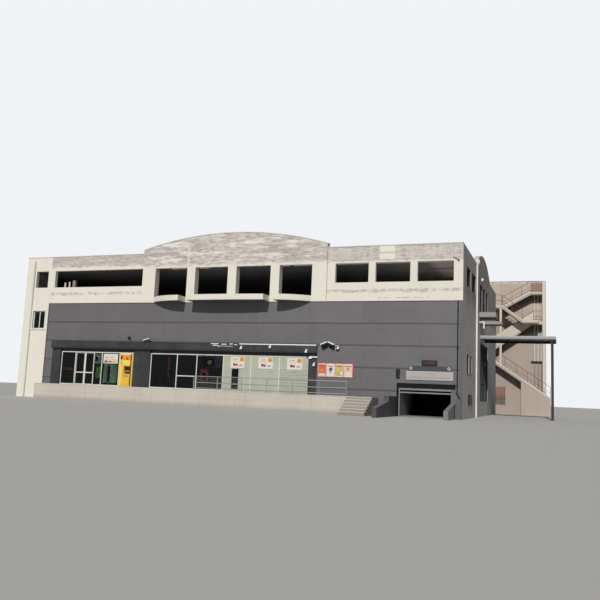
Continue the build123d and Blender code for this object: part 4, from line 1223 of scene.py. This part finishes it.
@piece(header_steel)
def corner_downpipe(shape):
    x, y, radius = 15.24, CLAD_FACE - 0.035, 0.03
    tube(shape, (x, y, 1.34), (x, y, clad_high.z), radius, 16)
    tube(shape, (x, y, 1.36), (15.42, y - 0.05, 1.10), radius, 16)
    for i in range(3):
        z = 1.8 + 2.1 * i
        bar(shape, (x - 0.05, y - 0.045, z), (x + 0.05, CLAD_FACE + 0.005, z + 0.03), 0.004)


@piece(casing_coat)
def corner_casing(shape):
    boards(shape, CLAD_FACE - 0.25, CLAD_FACE, 0.012, (15.22, 15.49, 0.0, 1.10))
    boards(shape, CLAD_FACE - 0.262, CLAD_FACE, 0.006, (15.205, 15.50, 1.085, 1.115))
    boards(shape, CLAD_FACE - 0.02, CLAD_FACE + 0.005, 0.004, (15.36, 15.49, 1.12, clad_high.z))


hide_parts("downpipes")

# Side, rear and lower walls
# Cement render painted warm grey, streaked below the sills; behind the canopy a bluish coat was
# added later. The inner faces and the reveals of the openings are painted near black as painted
# shade.
side_paint, tree = wall_paint("Side wall paint", (0.45, 0.43, 0.41), 0.65)
right_face = fade(tree, "X", 15.05, 15.15)
for start, end in ((1.35, 3.35), (3.75, 5.9)):
    sill_run = times(
        between(tree, "Y", start, end, 0.12), fade(tree, "Z", 5.9, 7.6),
        fade(tree, "Z", 7.72, 7.80, 1.0, 0.0),
        ramp(noise(tree, 2.0, 4, stretch=(1, 3.0, 0.25)), 0.36, 0.56, 0.25, 0.62), right_face,
    )
    over(sill_run, (0.15, 0.145, 0.14))
far = times(between(tree, "Y", 13.72, 19.7, 0.03), fade(tree, "Z", 6.10, 6.14, 1, 0))
over(times(far, right_face, 0.8), (0.24, 0.275, 0.30))
rear_part = times(fade(tree, "Y", 6.3, 6.7), fade(tree, "Z", 6.5, 6.9), 0.5)
shade = maths("MAXIMUM", rear_part, fade(tree, "Z", 6.4, 7.6, 0.0, 0.24))
over(times(shade, right_face), (0.115, 0.105, 0.115))
# Inner faces and the reveals of the side openings are painted near black: painted shade.
out_x = maths("ABSOLUTE", axis_of(tree, "X"))
inner = times(
    ramp(out_x, 15.215, 15.235, 1, 0), fade(tree, "Y", 19.64, 19.66, 1, 0),
    maths("MAXIMUM", fade(tree, "Z", 6.6, 6.7, 1, 0), fade(tree, "Y", 1.8, 3.2)),
)
openings = between(tree, "Z", 6.62, 9.22)
for start, end, low, high in ((8.6, 13.8, 0.9, 5.05), (1.85, 4.25, 2.55, 3.75)):
    hole = times(between(tree, "Y", start, end), between(tree, "Z", low, high))
    openings = maths("MAXIMUM", openings, hole)
reveal_shade = times(
    ramp(out_x, 15.465, 15.48, 1, 0), fade(tree, "X", 0, 1), fade(tree, "Y", 19.60, 19.62, 1, 0),
    openings,
)
low_part = fade(tree, "Z", 9.22, 9.26, 1, 0)
over(times(maths("MAXIMUM", inner, reveal_shade), low_part), (0.035, 0.034, 0.036))
finish(
    side_paint, "side_wall_right", "side_wall_left", "rear_wall", "front_wall_over",
    "front_wall_lower", "front_wall_base",
)
# The shop floor is painted near black: painted shade inside the shop.
shop_screed, _ = wall_paint("Shop screed", (0.05, 0.048, 0.046), 0.3, 0.7)
finish(shop_screed, "shop_floor")

# Slot windows, vent and small fittings on the right side
# Narrow windows in dark steel frames, a louvred vent over the ramp shaft, a lamp and small boxes.
dark_steel, _ = coated(
    "Dark steel", (0.030, 0.029, 0.029), (0.048, 0.045, 0.042), 4.0, (0.4, 0.55), gloss=0.3,
)
red_enamel, _ = coated("Red enamel", (0.13, 0.025, 0.045), (0.10, 0.03, 0.045), 7.0, (0.4, 0.55))
SLOTS = ((1.9, 2.7), (3.5, 4.2))
SLOT_LOW, SLOT_HIGH = 2.60, 3.72
VENT = (2.6, 4.0, 0.77, 1.38)


def frame_bars(shape, start, end, low, high, inner, outer, wide):
    """Four bars round an opening in the right side."""
    for y in (start, end - wide):
        bar(shape, (inner, y, low), (outer, y + wide, high), 0.004)
    for z in (low, high - wide):
        bar(shape, (inner, start + wide, z), (outer, end - wide, z + wide), 0.004)


@piece(dark_steel)
def slot_window_frames(shape):
    for start, end in SLOTS:
        frame_bars(shape, start, end, SLOT_LOW, SLOT_HIGH, SIDE - 0.14, SIDE - 0.08, 0.045)
        near = (SIDE - 0.02, start - 0.04, SLOT_LOW - 0.05)
        bar(shape, near, (SIDE + 0.03, end + 0.04, SLOT_LOW), 0.006)


@piece(dark_steel)
def vent_louvres(shape):
    start, end, low, high = VENT
    face = SIDE + 0.044
    frame_bars(shape, start, end, low, high, SIDE, SIDE + 0.055, 0.05)
    for i in range(9):
        z = low + 0.08 + 0.055 * i
        beam(shape, (face, start + 0.04, z), (face, end - 0.04, z), 0.02, 0.03)


@piece(bright_plastic)
def side_lamp_and_box(shape):
    bar(shape, (SIDE - 0.005, 9.10, 9.22), (SIDE + 0.10, 9.24, 9.42), 0.02)
    beam(shape, (SIDE + 0.02, 9.17, 9.36), (SIDE + 0.17, 9.17, 9.32), 0.10, 0.04, 0.01)
    bar(shape, (15.76, 7.99, 5.84), (15.84, 8.06, 6.30), 0.01)
    bar(shape, (SIDE - 0.005, 8.0, 6.235), (15.77, 8.05, 6.295), 0.005)


@piece(red_enamel)
def side_alarm_box(shape):
    bar(shape, (SIDE - 0.005, 9.18, 8.80), (SIDE + 0.10, 9.36, 9.05), 0.01)


# Tall openings and side windows
# The openings are unglazed; dark steel frames are fixed in four of them.
OPENINGS = ((1.5, 3.15, 7.73), (3.9, 5.7, 7.73), (10.15, 11.5, 6.85), (12.1, 13.3, 6.85))


@piece(dark_steel)
def side_opening_frames(shape):
    for start, end, low in OPENINGS:
        frame_bars(shape, start, end, low, 8.91, SIDE - 0.26, SIDE - 0.20, 0.06)


# Side slabs
# Two short cantilever slabs of painted concrete, darker along their lower edge.
slab_paint, tree = wall_paint("Side slab paint", (0.36, 0.325, 0.32), 0.55)
for low, high in ((6.50, 6.63), (6.05, 6.15)):
    over(times(between(tree, "Z", low, high, 0.02), 0.85), (0.09, 0.085, 0.085))
finish(slab_paint, "side_balcony", "side_shelf")

# Loading door
# A tall steel door in upright ribbed leaves, set back in the side wall, dark and streaked. Its
# near-black coat is partly dark paint and partly painted shade under the canopy, where its pale
# streaks fade out.
door_coat, tree = coated(
    "Loading door coat", (0.020, 0.024, 0.026), (0.034, 0.039, 0.041), 1.5, (0.5, 0.65), gloss=0.25,
)
streak = ramp(noise(tree, 1.6, 5, stretch=(1, 3.5, 0.15)), 0.45, 0.68)
# The pale streaks fade out upwards: painted shade under the canopy.
canopy_shade_falloff = fade(tree, "Z", 1.6, 3.6, 1.0, 0.15)
over(times(streak, canopy_shade_falloff, 0.6), (0.17, 0.19, 0.195))
finish(door_coat, "loading_door")
load_low, load_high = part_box("loading_door")
LEAVES, RIBS = 4, 8


@piece(door_coat)
def loading_door_ribs(shape):
    front, back, rib, broad = load_high.x, load_high.x - 0.004, 0.02, 0.05
    for i in range(LEAVES * RIBS + 1):
        y = load_low.y + (load_high.y - load_low.y) * i / (LEAVES * RIBS)
        wide, out = (rib, 0.014) if i % RIBS else (broad, 0.03)
        start = min(max(y - wide / 2, load_low.y), load_high.y - wide)
        bar(shape, (back, start, load_low.z), (front + out, start + wide, load_high.z), 0.003)
    for z in (load_low.z, 2.2, 3.6, load_high.z - 0.08):
        bar(shape, (back, load_low.y, z), (front + 0.02, load_high.y, z + 0.08), 0.004)


# Canopy
# White sheet fascia round a deck on steel joists, carried by the wall and two dark posts. The deck
# and all below the fascia's foot are painted near black, a dark coat deepened by painted shade.
canopy_coat, tree = coated(
    "Canopy sheet", (0.47, 0.47, 0.465), (0.39, 0.385, 0.375), 1.6, (0.4, 0.55),
)
canopy_low, canopy_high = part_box("canopy")
deck_shade = times(
    between(tree, "Y", canopy_low.y + 0.01, canopy_high.y - 0.01, 0.002),
    fade(tree, "X", canopy_high.x - 0.010, canopy_high.x - 0.006, 1, 0),
    fade(tree, "Z", 5.37, 5.38, 1, 0),
)
over(fade(tree, "Z", 5.325, 5.335, 0.75, 0.0), (0.27, 0.27, 0.33))
# Deck and underside painted near black: painted shade under the canopy.
over(maths("MAXIMUM", deck_shade, fade(tree, "Z", 5.20, 5.21, 1, 0)), (0.012, 0.012, 0.013))
finish(canopy_coat, "canopy")
finish(dark_steel, "canopy_posts")


@piece(header_steel)
def canopy_joists(shape):
    low = canopy_low.z + 0.02
    start, end = canopy_low.y + 0.06, canopy_high.y - 0.06
    for i in range(7):
        x = canopy_low.x + 0.25 + 0.72 * i
        bar(shape, (x, start, low), (x + 0.05, end, canopy_high.z - 0.118), 0.004)
    for y in (start + 0.02, end - 0.10):
        bar(shape, (canopy_low.x, y, low), (canopy_high.x - 0.062, y + 0.08, low + 0.05), 0.004)


@piece(dark_steel)
def canopy_post_plates(shape):
    for y in (8.56, 11.41):
        bar(shape, (19.93, y - 0.05, 0.0), (20.16, y + 0.18, 0.02), 0.004)
        bar(shape, (19.93, y, 5.24), (20.16, y + 0.13, 5.29), 0.004)


# Rear stair
# Cast concrete flights and landings in two lanes against a tall wall, painted pinkish beige, with
# pale string edges; the second flight has a low solid parapet. Near-black sheets under the flights
# are painted shade on their soffits.
stair_paint, tree = wall_paint("Stair wall paint", (0.44, 0.37, 0.315), 0.55, 0.9)
over(fade(tree, "Z", 7.2, 9.6, 0.0, 0.8), (0.53, 0.465, 0.385))
pink = ramp(noise(tree, 1.0, 5, stretch=(0.6, 0.6, 0.5)), 0.45, 0.65, 0.0, 0.5)
over(pink, (0.44, 0.34, 0.30))
# Under flights 2 and 4 the wall is painted darker: painted shadow cast by the flights.
for foot_x, foot_z, head_x, head_z in ((14.38, 5.0, 18.36, 7.8), (15.87, 9.05, 18.20, 10.35)):
    share = maths("DIVIDE", maths("SUBTRACT", axis_of(tree, "X"), foot_x), head_x - foot_x)
    under = maths("MINIMUM", maths("ADD", times(share, head_z - foot_z), foot_z), head_z)
    under = maths("SUBTRACT", under, axis_of(tree, "Z"))
    flight_shadow = times(
        ramp(under, 0.0, 0.1), ramp(under, 0.45, 0.95, 1.0, 0.0),
        between(tree, "X", foot_x, 19.08, 0.05), between(tree, "Y", 22.98, 23.1), 0.75,
    )
    over(flight_shadow, (0.075, 0.06, 0.055))
# Right of 19.1 m the wall's end is painted paler: a painted highlight on its sunlit end.
over(fade(tree, "X", 19.09, 19.11, 0.0, 0.8), (0.68, 0.63, 0.56))
finish(stair_paint, "stair_wall")
flight_paint, _ = wall_paint("Stair flight paint", (0.47, 0.40, 0.34), 0.4, 0.9)
finish(flight_paint, "front_flights", "rear_flights", "stair_landings")

LANDINGS = (5.00, 7.80, 9.05, 10.35)
HEADS = (14.38, 18.36, 15.90, 18.20)
FEET = (19.73, 14.38, 17.55, 15.87)
FOOT_LEVEL = 1.40
BASE_LEFT = 17.44
FRONT_LANE, REAR_LANE = 20.94, 22.0
FLIGHTS = tuple(zip(
    FEET, (FOOT_LEVEL, *LANDINGS[:3]), HEADS, LANDINGS,
    (FRONT_LANE, REAR_LANE, FRONT_LANE, REAR_LANE),
))
string_paint, _ = wall_paint("String paint", (0.66, 0.60, 0.53), 0.35, 0.85)


@piece(string_paint)
def flight_strings(shape):
    for foot, low, head, high, lane in FLIGHTS:
        depth = 0.10 if low == LANDINGS[1] else 0.16
        y = lane - 0.012
        beam(shape, (foot, y, low + 0.03), (head, y, high + 0.03), 0.03, depth, 0.004)
    for left, right, level, lane in (
        (13.77, 14.38, LANDINGS[0], FRONT_LANE), (17.55, 18.81, LANDINGS[1], FRONT_LANE),
        (18.36, 19.10, LANDINGS[1], REAR_LANE), (15.00, 15.90, LANDINGS[2], FRONT_LANE),
        (18.20, 19.10, LANDINGS[3], REAR_LANE),
    ):
        boards(shape, lane - 0.027, lane + 0.003, 0.006, (left, right, level - 0.12, level + 0.04))


@piece(string_paint)
def flight_parapet(shape):
    corners = ((14.42, 5.04), (18.36, 7.84), (18.36, 8.65), (14.42, 6.05))
    front = shape.faces.new([shape.verts.new((x, REAR_LANE + 0.005, z)) for x, z in corners])
    grown = bmesh.ops.extrude_face_region(shape, geom=[front])
    moved = [item for item in grown["geom"] if isinstance(item, bmesh.types.BMVert)]
    bmesh.ops.translate(shape, verts=moved, vec=(0, 0.07, 0))
    bmesh.ops.recalc_face_normals(shape, faces=shape.faces)


# A near-black paint for sheets under the flights: painted shade on their soffits.
soffit_shade_paint, _ = wall_paint("Soffit shade paint", (0.022, 0.018, 0.017), 0.3, 0.9)


@piece(soffit_shade_paint)
def flight_soffit_shades(shape):
    for foot, low, head, high, lane in FLIGHTS:
        if low == FOOT_LEVEL:
            low += (high - low) * (foot - BASE_LEFT) / (foot - head)
            foot = BASE_LEFT
        y, drop = lane + 0.48, 0.235
        beam(shape, (foot, y, low - drop), (head, y, high - drop), 0.90, 0.02)


# Stair tubes
# Three white plastic waste pipes run up the tall wall beside the landings, and a square concrete
# post carries the third landing at its free corner.
TUBE_Y = 22.955

tube_white, tree = coated(
    "Waste pipe", (0.80, 0.78, 0.74), (0.66, 0.63, 0.58), 2.0, (0.4, 0.55),
)
over(fade(tree, "Z", 4.48, 4.52, 0.85, 0.0), (0.19, 0.165, 0.15))


@piece(tube_white)
def stair_tubes(shape):
    for x in (18.45, 18.72, 18.99):
        for low, high, radius in (
            (0.0, 4.5, 0.03), (4.5, LANDINGS[1] - 0.2, 0.045),
            (LANDINGS[1], LANDINGS[3] - 0.2, 0.03), (4.55, 4.65, 0.055), (6.05, 6.15, 0.055),
            (7.15, 7.25, 0.055),
        ):
            tube(shape, (x, TUBE_Y, low), (x, TUBE_Y, high), radius, 16)


@piece(string_paint)
def stair_column(shape):
    low, high = 4.10, LANDINGS[2] - 0.2
    boards(shape, FRONT_LANE, FRONT_LANE + 0.18, 0.008, (15.72, 15.90, low, high))
    boards(shape, FRONT_LANE - 0.02, FRONT_LANE + 0.20, 0.006, (15.70, 15.90, high - 0.10, high))


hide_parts("stair_posts")

# Stair rails
# Painted red steel: a rail on the tall wall, thin tubes along the flights, and welded mesh at the
# top landing and at the foot.
red_paint, _ = coated(
    "Red rail paint", (0.21, 0.045, 0.045), (0.16, 0.065, 0.055), 6.0, (0.45, 0.6), 0.1,
)
WALL_TOP = 11.30
RAIL_RISE = 0.95


@piece(red_paint)
def stair_rail_tubes(shape):
    y, left, right, crest = 23.15, 13.50, 19.35, 11.465
    tube(shape, (left, y, crest), (right, y, crest), 0.035)
    tube(shape, (left, y, 11.37), (right, y, 11.37), 0.018)
    for i in range(9):
        x = 13.53 + 0.724 * i
        tube(shape, (x, y, WALL_TOP - 0.01), (x, y, 11.47), 0.022)
    for foot, low, head, high, lane in FLIGHTS:
        y = lane + 0.05
        for rise, radius, sides in ((RAIL_RISE, 0.018, 10), (RAIL_RISE / 2, 0.012, 8)):
            tube(shape, (foot, y, low + rise), (head, y, high + rise), radius, sides)
        count = max(2, round(abs(head - foot) / 0.9))
        for i in range(count + 1):
            x = foot + (head - foot) * i / count
            z = low + (high - low) * i / count
            tube(shape, (x, y, z + 0.02), (x, y, z + RAIL_RISE), 0.014, 8)
    for left, right, level, lane in (
        (18.36, 19.10, LANDINGS[1], REAR_LANE), (15.00, 15.90, LANDINGS[2], FRONT_LANE),
    ):
        y, end = lane + 0.05, right - 0.02
        for rise in (RAIL_RISE, RAIL_RISE / 2):
            tube(shape, (left, y, level + rise), (right, y, level + rise), 0.016, 10)
        tube(shape, (end, y, level), (end, y, level + RAIL_RISE), 0.016, 10)


@piece(red_paint)
def stair_mesh(shape):
    for left, right, low, high, y in (
        (18.20, 19.10, 10.42, 11.20, REAR_LANE + 0.05),
        (15.35, 16.20, 1.45, 2.26, FRONT_LANE - 0.03),
    ):
        edge = 0.03
        for z in (low, high - edge):
            boards(shape, y, y + edge, 0.004, (left, right, z, z + edge))
        for x in (left, right - edge):
            boards(shape, y, y + edge, 0.004, (x, x + edge, low - 0.08, high))
        for i in range(1, int((right - left) / 0.06)):
            x = left + 0.06 * i
            boards(shape, y + 0.01, y + 0.018, 0, (x, x + 0.034, low, high))
        for i in range(1, int((high - low) / 0.13)):
            z = low + 0.13 * i
            boards(shape, y + 0.008, y + 0.016, 0, (left, right, z, z + 0.03))


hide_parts("stair_rails")


# Angle on the stair wall
# A dark steel angle, bolted to the tall wall where the waste pipes change in width.
@piece(dark_steel)
def stair_wall_angle(shape):
    bar(shape, (18.15, 22.86, 4.42), (19.10, 22.91, 4.56), 0.006)
    bar(shape, (18.15, 22.86, 4.42), (19.10, 23.0, 4.44), 0.004)


# Floor, lights and camera
# A pale floor, a high soft sun from the front and a pale sky, seen from low down at the right.
# They stand for no real piece and ride on no body.
FLOOR = 160.0
FLOOR_DROP = 0.004
SKY_LIGHT, SKY_SEEN = 0.22, 0.92
floor_mesh = bpy.data.meshes.new("floor")
shape = bmesh.new()
bmesh.ops.create_grid(shape, x_segments=1, y_segments=1, size=FLOOR)
bmesh.ops.translate(shape, vec=(0, 0, -FLOOR_DROP), verts=shape.verts)
shape.to_mesh(floor_mesh)
shape.free()
floor = bpy.data.objects.new("floor", floor_mesh)
bpy.context.scene.collection.objects.link(floor)
floor_paint, tree, principled = shader("Pale floor", 0.9)
principled.inputs["Base Color"].default_value = (0.52, 0.52, 0.51, 1)
floor_mesh.materials.append(floor_paint)

sky = bpy.data.worlds.new("Pale sky")
bpy.context.scene.world = sky
sky.use_nodes = True
background = sky.node_tree.nodes["Background"]
seen = add(sky.node_tree, "ShaderNodeLightPath").outputs["Is Camera Ray"]
feed(background, "Strength", ramp(seen, 0.0, 1.0, SKY_LIGHT, SKY_SEEN))
background.inputs["Color"].default_value = (0.95, 0.975, 1.0, 1)

SUN_TRAVEL = Vector((-0.08, 1.0, -0.64))
SUN_STRENGTH = 2.75
sun_data = bpy.data.lights.new("sun", "SUN")
sun_data.energy = SUN_STRENGTH
sun_data.angle = math.radians(1.0)
sun_data.color = (1.0, 0.975, 0.93)
sun = bpy.data.objects.new("sun", sun_data)
sun.rotation_euler = SUN_TRAVEL.to_track_quat("-Z", "Y").to_euler()
bpy.context.scene.collection.objects.link(sun)

FOCAL_PIXELS = 690.0
FRAME_PIXELS = 600.0
YAW, PITCH, ROLL = (math.radians(a) for a in (21.08, 7.56, -2.44))
EYE = Vector((20.76, FACE - 39.0, 1.15))
forward = Vector((
    -math.sin(YAW) * math.cos(PITCH), math.cos(YAW) * math.cos(PITCH), math.sin(PITCH),
))
level = Vector((math.cos(YAW), math.sin(YAW), 0))
down = forward.cross(level)
across = math.cos(ROLL) * level + math.sin(ROLL) * down
down = -math.sin(ROLL) * level + math.cos(ROLL) * down
lens_data = bpy.data.cameras.new("camera")
lens_data.sensor_fit = "HORIZONTAL"
lens_data.sensor_width = 36.0
lens_data.lens = FOCAL_PIXELS / FRAME_PIXELS * lens_data.sensor_width
lens_data.clip_end = 2000.0
camera = bpy.data.objects.new("camera", lens_data)
turned = Matrix((across, -down, -forward)).transposed().to_4x4()
camera.matrix_world = Matrix.Translation(EYE) @ turned
bpy.context.scene.collection.objects.link(camera)
bpy.context.scene.camera = camera
bpy.context.scene.view_settings.view_transform = "Standard"
